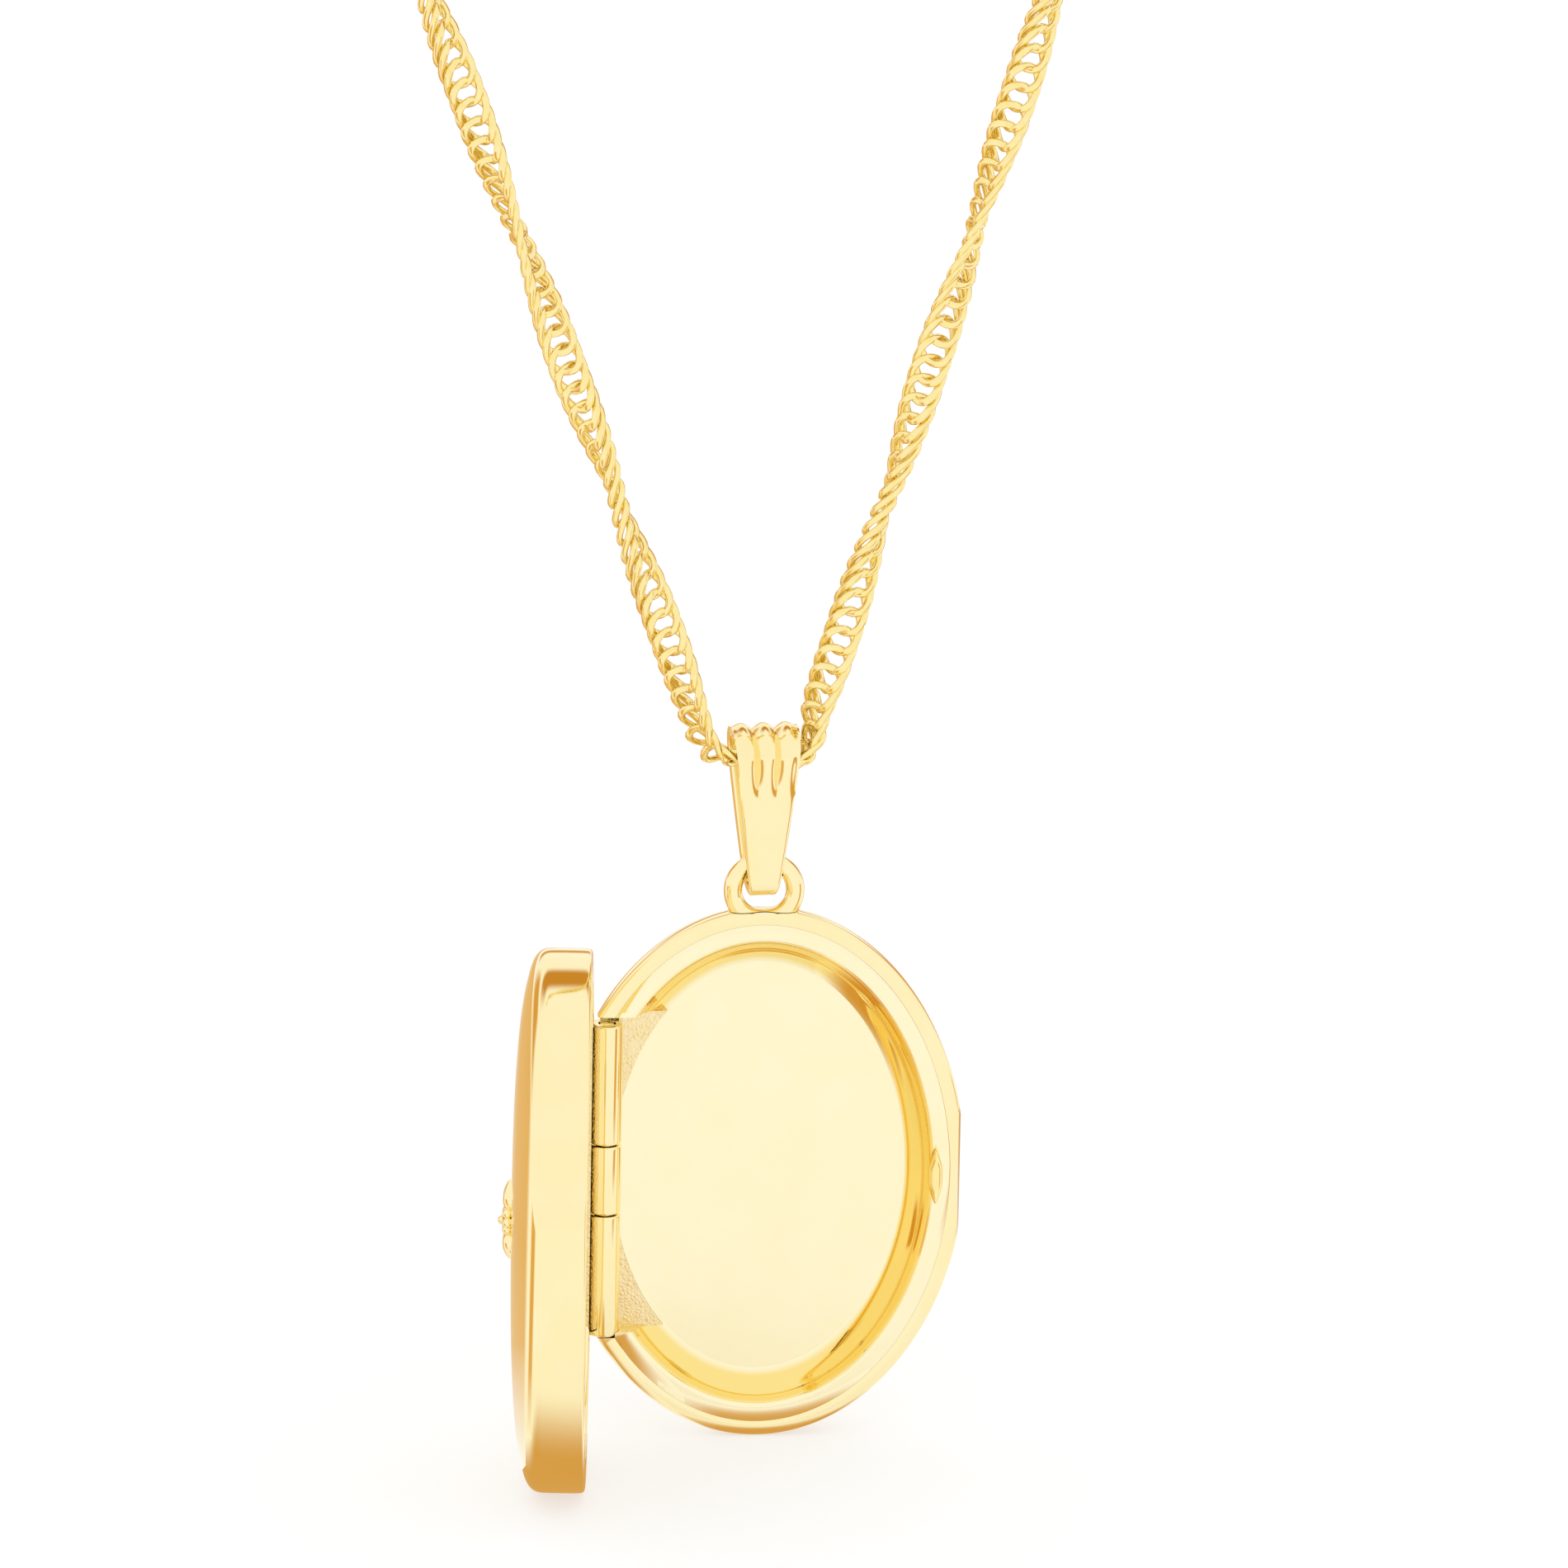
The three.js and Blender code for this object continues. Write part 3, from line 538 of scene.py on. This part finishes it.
def strap_row(y, z, ny, nz):
    share = min(1.0, max(0.0, (z - BAIL_FOOT) / (BAIL_TOP - BAIL_FOOT)))
    half = FOOT_HALF + (TOP_HALF - FOOT_HALF) * share ** 0.8
    rib = RIB_SINK * smooth_step(share, RIB_FROM, RIB_FULL)
    row = []
    across = 72
    for i in range(across + 1):
        u = -1 + 2 * i / across
        crest = abs(math.sin(1.5 * math.pi * (u + 1)))
        edge = EDGE_DROP * abs(u) ** 14
        row.append((u * half, STRAP / 2 - rib * (1 - crest) * (1 - abs(u) ** 10) - edge))
    row += [(half * out, -STRAP / 2 + rise) for out, rise in UNDER_EDGE]
    row += [(-half * out, -STRAP / 2 + rise) for out, rise in reversed(UNDER_EDGE)]
    return [(BAIL_X + x, RING_Y + y + ny * n, z + nz * n) for x, n in row]


bail = skin("bail_strap", [strap_row(*at) for at in strap_line()], loop=True)
bail_middle = place(BAIL_X, RING_Y, 0)
bail.data.transform(Matrix.Translation(bail_middle) @ Matrix.Rotation(BAIL_TURN, 4, "Z")
                    @ Matrix.Translation(-bail_middle))
dress(bail, "bail_loop", "chain_gold", polished_gold, "bail", angle=50)


# ---------------------------------------------------------------------------
# Hanging ring
# A closed ring of round wire, silver soldered upright on a flat filed in the rear rim;
# the solder fills the corner at its foot.
# ---------------------------------------------------------------------------
RING_MIDDLE_Z, RING_R, RING_WIRE, RING_SEAT_Z = 12.88, 1.36, 0.405, 11.93
FOOT_SWELL, CROWN_WEAR = 0.22, 0.12


def block(name, low, high):
    rows = [[(low[0], y, low[2]), (high[0], y, low[2]), (high[0], y, high[2]), (low[0], y, high[2])]
            for y in (low[1], high[1])]
    return skin(name, rows)


# Solder thickens the foot, and the bail has worn the crown a little thinner
def ring_swell(angle):
    foot, crown = max(0.0, -math.sin(angle)), max(0.0, math.sin(angle))
    return 1 + FOOT_SWELL * foot ** 3 - CROWN_WEAR * crown ** 3


ring_middle = in_mm(place(0, RING_Y, RING_MIDDLE_Z))
ring = bent_wire("hanging_ring_fine", ring_middle, RING_R, RING_WIRE, steps=96, sides=32,
                 swell=ring_swell)
carve(ring, block("ring_foot_file", (-3, -2, 8), (3, 4, RING_SEAT_Z + 0.02)))
dress(ring, "locket_back", "polished_gold", polished_gold, "hanging_ring")


# ---------------------------------------------------------------------------
# Rear half: shell, tray and hinge seat
# The shell is struck from sheet and closed by a tray whose flat floor takes a picture.
# Their rims are soldered edge to edge, which leaves one fine seam round the oval.
# ---------------------------------------------------------------------------
OVAL_SIDES = 240
SOFT = 9.0                        # ease of a corner that is all curve


# Corners are (inset from the rim, depth, ease); an eased corner becomes a curve.
def softened(corners, closed=True, steps=6):
    line = []
    for i, (x, y, ease) in enumerate(corners):
        corner = Vector((x, y))
        if ease == 0 or (not closed and i in (0, len(corners) - 1)):
            line.append(corner)
            continue
        before = Vector(corners[i - 1][:2]) - corner
        after = Vector(corners[(i + 1) % len(corners)][:2]) - corner
        start = corner + before.normalized() * min(ease, before.length * 0.5)
        end = corner + after.normalized() * min(ease, after.length * 0.5)
        for s in range(steps + 1):
            t = s / steps
            line.append(start * (1 - t) ** 2 + corner * 2 * t * (1 - t) + end * t * t)
    return line


def stretch(r):
    return (HALF_H - HALF_W) * math.tanh(r / 3.0) / math.tanh(HALF_W / 3.0)


def oval_point(r, angle, depth):
    return (r * math.cos(angle), depth, (r + stretch(r)) * math.sin(angle))


# Turns a section round the oval. facing is 1 for the rear half and -1 for the cover.
def oval_turned(name, line, facing=1, lift=0.0):
    rows = []
    for k in range(OVAL_SIDES):
        angle = 2 * math.pi * k / OVAL_SIDES
        rows.append([oval_point(HALF_W - inset, angle, facing * (depth + lift)) for inset, depth in line])
    return skin(name, rows, loop=True)


# The hinge lies in a groove along a flat chord of each half, and its seats in notches there
CHORD_X, CHORD_LOW, SEAT_HALF_Z, LEDGE_X, LEDGE_Y = -7.02, -7.5, 7.2, -3.4, 0.95
NOTCH_HALF_Z = SEAT_HALF_Z + 0.05
HINGE_X, HINGE_Y, BARREL_R = -6.77, 0.51, 0.70
GROOVE_R, GROOVE_LOW, GROOVE_HIGH = 0.71, -7.5, 6.95
FLOOR_INSET, RIM_INSET, TRAY_INSET = 2.6, 0.66, 0.665

REAR_SHELL = [
    (0.1, 0, 0.1), (0, 0.12, 0.08), (0, 0.6, SOFT), (0.1, 1.12, SOFT), (0.42, 1.66, SOFT),
    (1.0, 2.12, SOFT), (1.8, 2.44, SOFT), (2.8, 2.6, SOFT), (4.0, 2.6, 0), (HALF_W, 2.6, 0),
    (HALF_W, 2.15, 0), (2.9, 2.15, SOFT), (1.95, 2.0, SOFT), (1.35, 1.82, SOFT), (0.95, 1.5, SOFT),
    (RIM_INSET, 1.05, SOFT), (RIM_INSET, 0.012, 0), (RIM_INSET - 0.02, 0, 0)]
TRAY = [
    (TRAY_INSET, 0.012, 0), (TRAY_INSET + 0.02, 0.0, 0), (1.36, 0.0, 0.1), (1.47, 0.12, 0.1),
    (1.62, 0.5, SOFT), (1.95, 0.88, SOFT), (2.35, 1.13, SOFT), (2.64, 1.27, 0.03), (3.0, 1.27, 0),
    (HALF_W, 1.27, 0), (HALF_W, 1.9, 0), (2.9, 1.9, SOFT), (1.95, 1.8, SOFT), (1.35, 1.6, SOFT),
    (1.0, 1.3, SOFT), (TRAY_INSET, 0.9, 0)]


# A section of (radius, height) turned about the hinge's axis
def hinge_turned(line, sides=48):
    return [[(HINGE_X + r * math.cos(b), HINGE_Y + r * math.sin(b), z) for r, z in line]
            for b in (2 * math.pi * i / sides for i in range(sides))]


def groove_cutter():
    line = [(0, GROOVE_LOW), (GROOVE_R, GROOVE_LOW), (GROOVE_R, GROOVE_HIGH), (0, GROOVE_HIGH)]
    return skin("groove_cutter", hinge_turned(line), loop=True)


def chord_cutter():
    return block("chord_cutter", (-12, -8, CHORD_LOW), (CHORD_X, 8, NOTCH_HALF_Z))


def floor_column(grow):
    return oval_turned("floor_column", [(FLOOR_INSET - grow, -3), (FLOOR_INSET - grow, 6),
                                        (HALF_W, 6), (HALF_W, -3)])


def notch_cutter(low_y, high_y):
    cutter = block("notch_cutter", (-12, low_y, -NOTCH_HALF_Z), (LEDGE_X, high_y, NOTCH_HALF_Z))
    carve(cutter, floor_column(0))
    return cutter


rear_shell = oval_turned("rear_shell_fine", softened(REAR_SHELL))
carve(rear_shell, chord_cutter())
carve(rear_shell, notch_cutter(-1, LEDGE_Y))
carve(rear_shell, groove_cutter())
carve(rear_shell, block("ring_seat_file", (-4, -1, RING_SEAT_Z), (4, 4, 14)))

# The thumbnail nick: one slanting cut across the rim's outer edge, opposite the hinge.
NICK = [(8.66, -0.01), (8.8, 0.45), (8.84, 1.2), (10.5, 1.6), (10.5, -0.5), (8.66, -0.5)]
NICK_LOW, NICK_HIGH = -4.35, 4.65
carve(rear_shell, skin("nick_cutter", [[(x, y, z) for x, y in NICK] for z in (NICK_LOW, NICK_HIGH)]))
dress(rear_shell, "locket_back", "polished_gold", polished_gold, "rear_shell")

# Burnished in the die and lapped: paler and brighter than the shells, so that the floor
# mirrors the light.
# Its upright inner wall is painted a deeper gold, as painted shade.
mirror_gold = polished_gold_material("mirror_gold", "#FEF5D2", "#FDF0C2", 0.02, 0.06, 0.000004,
                                     painted_wall_shade="#FAE08C")
rear_tray = oval_turned("rear_tray_fine", softened(TRAY))
carve(rear_tray, chord_cutter())
carve(rear_tray, notch_cutter(-1, 3))
carve(rear_tray, groove_cutter())


# The tray's upright inner wall gets a deeper colour: painted shade for the recess.
def mark_painted_wall_shade(tray, facing, lift=0.0):
    layer = tray.data.attributes.new("painted_wall_shade", "FLOAT", "POINT")
    for vertex, item in zip(tray.data.vertices, layer.data):
        depth = (vertex.co.y - CENTRE.y) / MM * facing - lift
        item.value = smooth_step(depth, 0.03, 0.3) * (1 - smooth_step(depth, 1.1, 1.26))


mark_painted_wall_shade(rear_tray, 1)
dress(rear_tray, "locket_back", "mirror_gold", mirror_gold, "rear_tray")


# Cast seat plates, left with the casting's fine grain, and dull beside the hinge.
def make_solder_gold():
    material, tree = new_material("solder_gold")
    where = add_node(tree, "ShaderNodeTexCoord")
    grains = add_node(tree, "ShaderNodeTexVoronoi", {"feature": "DISTANCE_TO_EDGE"},
                      {"Vector": where.outputs["Object"], "Scale": 5200.0})
    cloud = add_node(tree, "ShaderNodeTexNoise", None,
                     {"Vector": where.outputs["Object"], "Scale": 1400.0, "Detail": 5.0})
    tone = add_node(tree, "ShaderNodeMix", {"data_type": "RGBA"},
                    {"Factor": cloud.outputs["Fac"], "A": linear("#F5DC9C"), "B": linear("#FFF3D0")})
    relief = add_node(tree, "ShaderNodeBump", None,
                      {"Height": grains.outputs["Distance"], "Strength": 0.8, "Distance": 0.00006})
    shader = add_node(tree, "ShaderNodeBsdfPrincipled", None,
                      {"Metallic": 1.0, "Base Color": tone.outputs["Result"], "Roughness": 0.34,
                       "Normal": relief.outputs["Normal"]})
    add_node(tree, "ShaderNodeOutputMaterial", None, {"Surface": shader.outputs["BSDF"]})
    return material


solder_gold = make_solder_gold()
REAR_CAVITY = [(HALF_W, 0), (RIM_INSET + 0.03, 0), (RIM_INSET + 0.03, 1.02), (0.98, 1.47), (1.38, 1.79),
               (1.98, 1.97), (2.93, 2.12), (HALF_W, 2.12)]
rear_seat = block("rear_seat_plate", (CHORD_X, LEDGE_Y, -NOTCH_HALF_Z), (LEDGE_X, 3, NOTCH_HALF_Z))
carve(rear_seat, oval_turned("rear_cavity", REAR_CAVITY), "INTERSECT")
carve(rear_seat, floor_column(0.004))
carve(rear_seat, groove_cutter())
dress(rear_seat, "locket_back", "solder_gold", solder_gold, "rear_hinge_seat")

# Hinge knuckles: short lengths of drawn tube with rounded ends, running on one pin.
KNUCKLES = {"bottom": (-7.43, -1.87), "middle": (-1.81, 1.33), "top": (1.39, 6.87)}
PIN_HOLE, PIN_R = 0.38, 0.33


def knuckle(name, low, high):
    line = softened([(PIN_HOLE, low, 0.03), (BARREL_R, low, 0.13), (BARREL_R, high, 0.13),
                     (PIN_HOLE, high, 0.03)])
    return skin(name, hinge_turned(line), loop=True)


for end in ("top", "bottom"):
    dress(knuckle(f"knuckle_{end}_fine", *KNUCKLES[end]), "locket_back", "polished_gold", polished_gold,
          f"hinge_knuckle_{end}")
pin_low, pin_high = KNUCKLES["bottom"][0] + 0.04, KNUCKLES["top"][1] - 0.04
pin_line = softened([(0, pin_low, 0), (PIN_R, pin_low, 0.1), (PIN_R, pin_high, 0.1), (0, pin_high, 0)],
                    closed=False)
pin = skin("hinge_pin_fine", hinge_turned(pin_line), loop=True)
dress(pin, "locket_back", "polished_gold", polished_gold, "hinge_pin")

# Catch tongue: a small lozenge let into the tray's rim. It takes the chain's deeper gold as painted shade,
# so that it stands out from the rim.
CATCH_X, CATCH_Z, CATCH_HALF_X, CATCH_HALF_Z = 7.68, -0.08, 0.3, 1.25
LOZENGE = [(-0.2, 1), (0.2, 1), (1, 0.35), (1, -0.35), (0.2, -1), (-0.2, -1), (-1, -0.35), (-1, 0.35)]
TONGUE_ROWS = [(0.0, 1.0), (-0.3, 1.0), (-0.46, 0.92), (-0.57, 0.74), (-0.63, 0.45)]    # (height, width)


def lozenge_row(y, grow):
    ring = softened([(u, v, 0.22) for u, v in LOZENGE], steps=4)
    return [(CATCH_X + u * CATCH_HALF_X * grow, y, CATCH_Z + v * CATCH_HALF_Z * (0.5 + grow / 2))
            for u, v in ring]


tongue = skin("catch_tongue_fine", [lozenge_row(y, grow) for y, grow in TONGUE_ROWS])
dress(tongue, "locket_back", "polished_gold", chain_gold, "catch_tongue")


# ---------------------------------------------------------------------------
# Front half: the cover
# A deeper shell with an upright wall and a low dome, closed by a tray of its own. It is
# drawn shut over the rear half and then swung open on the hinge to where it stands.
# ---------------------------------------------------------------------------
PART_GAP = 0.06
FRONT_SHELL = [
    (0.24, 0, 0.1), (0.04, 0.06, SOFT), (0, 0.3, SOFT), (0, 1.75, SOFT), (0.03, 2.08, SOFT),
    (0.16, 2.34, SOFT), (0.45, 2.56, SOFT), (0.95, 2.74, SOFT), (2.0, 2.98, SOFT), (3.4, 3.16, SOFT),
    (6.0, 3.34, SOFT),
    (HALF_W, 3.4, 0), (HALF_W, 2.95, 0), (6.0, 2.86, 0), (3.4, 2.7, 0), (1.6, 2.42, 0), (0.9, 2.1, 0),
    (RIM_INSET, 1.8, 0), (RIM_INSET, 0.012, 0), (RIM_INSET - 0.02, 0, 0)]
HINGE = Vector((HINGE_X, HINGE_Y, 0))
OPEN_ANGLE = math.radians(-95)


def swing_open(piece):
    pivot = place(*HINGE)
    turn = Matrix.Translation(pivot) @ Matrix.Rotation(OPEN_ANGLE, 4, "Z") @ Matrix.Translation(-pivot)
    piece.data.transform(turn)
    return piece


front_shell = oval_turned("front_shell_fine", softened(FRONT_SHELL), -1, PART_GAP)
carve(front_shell, chord_cutter())
carve(front_shell, groove_cutter())

# A shallow thumbnail scoop, ground into the upright wall above the free edge's middle
SCOOP_TURN, SCOOP_DEPTH, SCOOP_ROUND, SCOOP_ACROSS, SCOOP_ALONG = 0.44, 0.18, 0.9, 1.25, 4.4
SCOOP_Y = -1.02
slope = Vector((math.cos(SCOOP_TURN) / HALF_W, math.sin(SCOOP_TURN) / HALF_H)).normalized()
scoop_x = HALF_W * math.cos(SCOOP_TURN) + slope.x * (SCOOP_ROUND - SCOOP_DEPTH)
scoop_z = HALF_H * math.sin(SCOOP_TURN) + slope.y * (SCOOP_ROUND - SCOOP_DEPTH)
scoop_rows = []
for k in range(64):
    a = 2 * math.pi * k / 64
    row = []
    for s in range(33):
        b = -math.pi / 2 + math.pi * s / 32
        out, along = SCOOP_ROUND * math.cos(b) * math.cos(a), SCOOP_ALONG * math.sin(b)
        row.append((scoop_x + slope.x * out - slope.y * along,
                    SCOOP_Y + SCOOP_ACROSS * math.cos(b) * math.sin(a),
                    scoop_z + slope.y * out + slope.x * along))
    scoop_rows.append(row)
carve(front_shell, skin("scoop_cutter", scoop_rows, loop=True))
dress(swing_open(front_shell), "locket_front", "polished_gold", polished_gold, "front_shell")

FRONT_SEAT_X = -5.8
front_tray = oval_turned("front_tray_fine", softened(TRAY), -1, PART_GAP)
carve(front_tray, chord_cutter())
carve(front_tray, block("front_notch", (-12, -6, -NOTCH_HALF_Z), (FRONT_SEAT_X, 1, NOTCH_HALF_Z)))
carve(front_tray, block("tongue_slot", (CATCH_X - 0.5, -0.95, CATCH_Z - 1.5),
                        (CATCH_X + 0.45, 0.1, CATCH_Z + 1.5)))
mark_painted_wall_shade(front_tray, -1, PART_GAP)
dress(swing_open(front_tray), "locket_front", "mirror_gold", mirror_gold, "front_tray")

front_seat = block("front_seat_plate", (CHORD_X, -6, -SEAT_HALF_Z),
                   (FRONT_SEAT_X - 0.03, -0.1, SEAT_HALF_Z))
FRONT_CAVITY = [(HALF_W, 0), (RIM_INSET + 0.03, 0), (RIM_INSET + 0.03, 1.77), (0.93, 2.07), (1.63, 2.39),
                (3.43, 2.67), (6.03, 2.83), (HALF_W, 2.92)]
carve(front_seat, oval_turned("front_cavity", FRONT_CAVITY, -1, PART_GAP), "INTERSECT")
carve(front_seat, groove_cutter())
dress(swing_open(front_seat), "locket_front", "solder_gold", solder_gold, "front_hinge_seat")

dress(swing_open(knuckle("knuckle_middle_fine", *KNUCKLES["middle"])), "locket_front", "polished_gold",
      polished_gold, "hinge_knuckle_middle")
# The catch's keeper: a thin bar in the cover's tray, which the tongue snaps behind.
KEEPER_HALF_Z = 1.4
keeper = block("catch_keeper_fine", (CATCH_X - 0.49, -0.9, CATCH_Z - KEEPER_HALF_Z),
               (CATCH_X - 0.36, -0.11, CATCH_Z + KEEPER_HALF_Z))
dress(swing_open(keeper), "locket_front", "solder_gold", solder_gold, "catch_keeper")


# ---------------------------------------------------------------------------
# Ornament
# A small cast spray soldered to the middle of the dome: six petals round a bead, with
# a veined leaf above and below.
# ---------------------------------------------------------------------------
DOME_Y = -PART_GAP - 3.4
LEAF_HALF, LEAF_RISE = 0.56, 0.42
LEAVES = {"top": (1.85, 0.4), "bottom": (-1.75, -0.4)}    # tip and root heights
PETALS, PETAL_OUT, PETAL_SINK, PETAL_SIZES = 6, 0.42, 0.14, (0.25, 0.24, 0.25)
BEAD_UP, BEAD_SIZES = 0.4, (0.2, 0.17, 0.2)


def leaf(name, tip_z, root_z):
    rows = []
    for s in range(33):
        t = s / 32
        spread = max(0.02, math.sin(math.pi * t ** 0.8) ** 0.8)
        z = root_z + (tip_z - root_z) * t
        row = []
        for i in range(24):
            b = 2 * math.pi * i / 24
            x = math.cos(b) * LEAF_HALF * spread
            vein = 0.16 * LEAF_RISE * math.exp(-(math.cos(b) * 3.2) ** 2) * spread
            crown = -LEAF_RISE * (0.25 + 0.75 * spread) * max(0.0, math.sin(b)) ** 0.7
            y = crown + (vein if math.sin(b) > 0 else 0)
            row.append((x, DOME_Y + 0.02 + y, z))
        rows.append(row)
    return skin(name, rows)


for end, (tip_z, root_z) in LEAVES.items():
    dress(swing_open(leaf(f"leaf_{end}_fine", tip_z, root_z)), "locket_front", "polished_gold",
          polished_gold, f"ornament_leaf_{end}")


def lump(name, middle, sizes, rings=12, sides=24):
    rows = []
    for k in range(sides):
        a = 2 * math.pi * k / sides
        rows.append([(middle[0] + sizes[0] * math.cos(b) * math.cos(a), middle[1] + sizes[1] * math.sin(b),
                      middle[2] + sizes[2] * math.cos(b) * math.sin(a))
                     for b in (-math.pi / 2 + math.pi * s / rings for s in range(rings + 1))])
    return skin(name, rows, loop=True)


petals = []
for i in range(PETALS):
    a = 2 * math.pi * i / PETALS
    petal_at = (PETAL_OUT * math.cos(a), DOME_Y - PETAL_SINK, PETAL_OUT * math.sin(a))
    petals.append(lump(f"petal_{i}", petal_at, PETAL_SIZES))
with bpy.context.temp_override(active_object=petals[0], selected_editable_objects=petals):
    bpy.ops.object.join()
flower = petals[0]
flower.name = "flower_petals"
dress(swing_open(flower), "locket_front", "polished_gold", polished_gold, "ornament_flower")
bead = lump("flower_bead", (0, DOME_Y - BEAD_UP, 0), BEAD_SIZES)
dress(swing_open(bead), "locket_front", "polished_gold", polished_gold, "ornament_bead")


# ---------------------------------------------------------------------------
# Studio
# A pale floor with some light of its own, an even white tent above, and a few tan flags
# laid on the floor and hung behind, which polished gold needs to show its shape. The
# flags are seen in reflections only.
# ---------------------------------------------------------------------------
floor_z = cad_low.z - 0.00002
FLOOR_REACH, FLOOR_GREY, FLOOR_GLOW = 3.0, (0.42, 0.42, 0.42, 1), 0.61
WHITE, TENT_LIGHT = (1.02, 1.02, 1.02), 1.02
FLAG_FADE, FLAG_CELLS = 0.3, 24      # the share of a flag that fades at each border, and its mesh
LAID_LIFT, BENEATH_LIFT = 0.00003, 0.00001    # heights of the flags above the floor


def sheet_of(name, corners, material):
    data = bpy.data.meshes.new(name)
    data.from_pydata(corners, [], [(0, 1, 2, 3)])
    data.materials.append(material)
    card = bpy.data.objects.new(name, data)
    bpy.context.scene.collection.objects.link(card)


def make_floor_white():
    material, tree = new_material("floor_white")
    matt = add_node(tree, "ShaderNodeBsdfDiffuse", None, {"Color": FLOOR_GREY})
    glow = add_node(tree, "ShaderNodeEmission", None, {"Color": (1, 1, 1, 1), "Strength": FLOOR_GLOW})
    both = add_node(tree, "ShaderNodeAddShader", None,
                    {0: matt.outputs["BSDF"], 1: glow.outputs["Emission"]})
    add_node(tree, "ShaderNodeOutputMaterial", None, {"Surface": both.outputs["Shader"]})
    return material


# A flag's own colour fades to the tent's white at its borders
def make_flag_paint():
    material, tree = new_material("flag_paint")
    tone = add_node(tree, "ShaderNodeAttribute", {"attribute_name": "tone"})
    glow = add_node(tree, "ShaderNodeEmission", None, {"Color": tone.outputs["Color"], "Strength": 1.0})
    add_node(tree, "ShaderNodeOutputMaterial", None, {"Surface": glow.outputs["Emission"]})
    return material


sheet_of("studio_floor", [(x * FLOOR_REACH, y * FLOOR_REACH, floor_z)
                          for x, y in ((-1, -1), (1, -1), (1, 1), (-1, 1))], make_floor_white())
flag_paint = make_flag_paint()


# spot gives a flag's point in metres for two shares from 0 to 1, across it and along it
def make_flag(name, spot, tone, fade_v=FLAG_FADE):
    points, faces, tones = [], [], []
    dark = linear(tone)
    for i in range(FLAG_CELLS + 1):
        for j in range(FLAG_CELLS + 1):
            u, v = i / FLAG_CELLS, j / FLAG_CELLS
            points.append(spot(u, v))
            cover = smooth_step(min(u, 1 - u), 0.0, FLAG_FADE) * smooth_step(min(v, 1 - v), 0.0, fade_v)
            tones.append([WHITE[k] + (dark[k] - WHITE[k]) * cover for k in range(3)] + [1.0])
            if i < FLAG_CELLS and j < FLAG_CELLS:
                a = i * (FLAG_CELLS + 1) + j
                faces.append((a, a + 1, a + FLAG_CELLS + 2, a + FLAG_CELLS + 1))
    data = bpy.data.meshes.new(name)
    data.from_pydata(points, [], faces)
    layer = data.color_attributes.new("tone", "FLOAT_COLOR", "POINT")
    for item, value in zip(layer.data, tones):
        item.color = value
    data.materials.append(flag_paint)
    flag = bpy.data.objects.new(name, data)
    bpy.context.scene.collection.objects.link(flag)
    flag.visible_camera = False
    flag.visible_diffuse = False
    flag.visible_shadow = False


# Flags laid on the floor round the cover: azimuth span in degrees, near and far in mm, tone
cover_low, cover_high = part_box("front_shell")
COVER = (cover_low + cover_high) / 2
FLOOR_FLAGS = [(-95, -48, 6, 200, "#E4B262"), (-196, -108, 3, 400, "#E8BE80"),
               (60, 84, 30, 300, "#DDA850"), (136, 176, 8, 400, "#D8A048")]
FLOOR_FLAG_FADE = 0.05
for number, (start, end, near, far, tone) in enumerate(FLOOR_FLAGS):
    def on_floor(u, v):
        a = math.radians(start + (end - start) * u)
        r = (near + (far - near) * v) * MM
        return (COVER.x + r * math.sin(a), COVER.y - r * math.cos(a), floor_z + LAID_LIFT)
    make_flag(f"floor_flag_{number}", on_floor, tone, fade_v=FLOOR_FLAG_FADE)

# Two small flags right under the halves are painted shade: they stand in for the floor's shadow there, and
# darken what their lower edges mirror
for name, middle, half_x, half_y in (("under_cover", COVER, 6.0, 12.0),
                                     ("under_rear", (rear_low + rear_high) / 2, 6.0, 5.0)):
    def beneath(u, v):
        return (middle.x + (2 * u - 1) * half_x * MM, middle.y + (2 * v - 1) * half_y * MM,
                floor_z + BENEATH_LIFT)
    make_flag(name, beneath, "#D9A860")

# Flags hung in the tent behind the locket: azimuth and height spans in degrees, tone
HUNG_FLAGS = [(110, 250, 42, 70, "#CC9038"), (108, 158, -3, 40, "#CF9438"),
              (-158, -108, -3, 40, "#DDA650"), (160, 202, 4, 15, "#D8A450")]
HUNG_AT = 0.5
for number, (start, end, low, high, tone) in enumerate(HUNG_FLAGS):
    def hung(u, v):
        a = math.radians(start + (end - start) * u)
        h = math.radians(low + (high - low) * v)
        way = Vector((math.sin(a) * math.cos(h), -math.cos(a) * math.cos(h), math.sin(h)))
        return CENTRE + way * HUNG_AT
    make_flag(f"hung_flag_{number}", hung, tone)

world = bpy.data.worlds.new("tent")
bpy.context.scene.world = world
world.use_nodes = True
world.node_tree.nodes.clear()
sky = add_node(world.node_tree, "ShaderNodeBackground", None,
               {"Color": (1, 1, 1, 1), "Strength": TENT_LIGHT})
add_node(world.node_tree, "ShaderNodeOutputWorld", None, {"Surface": sky.outputs["Background"]})
bpy.context.scene.view_settings.view_transform = "Standard"
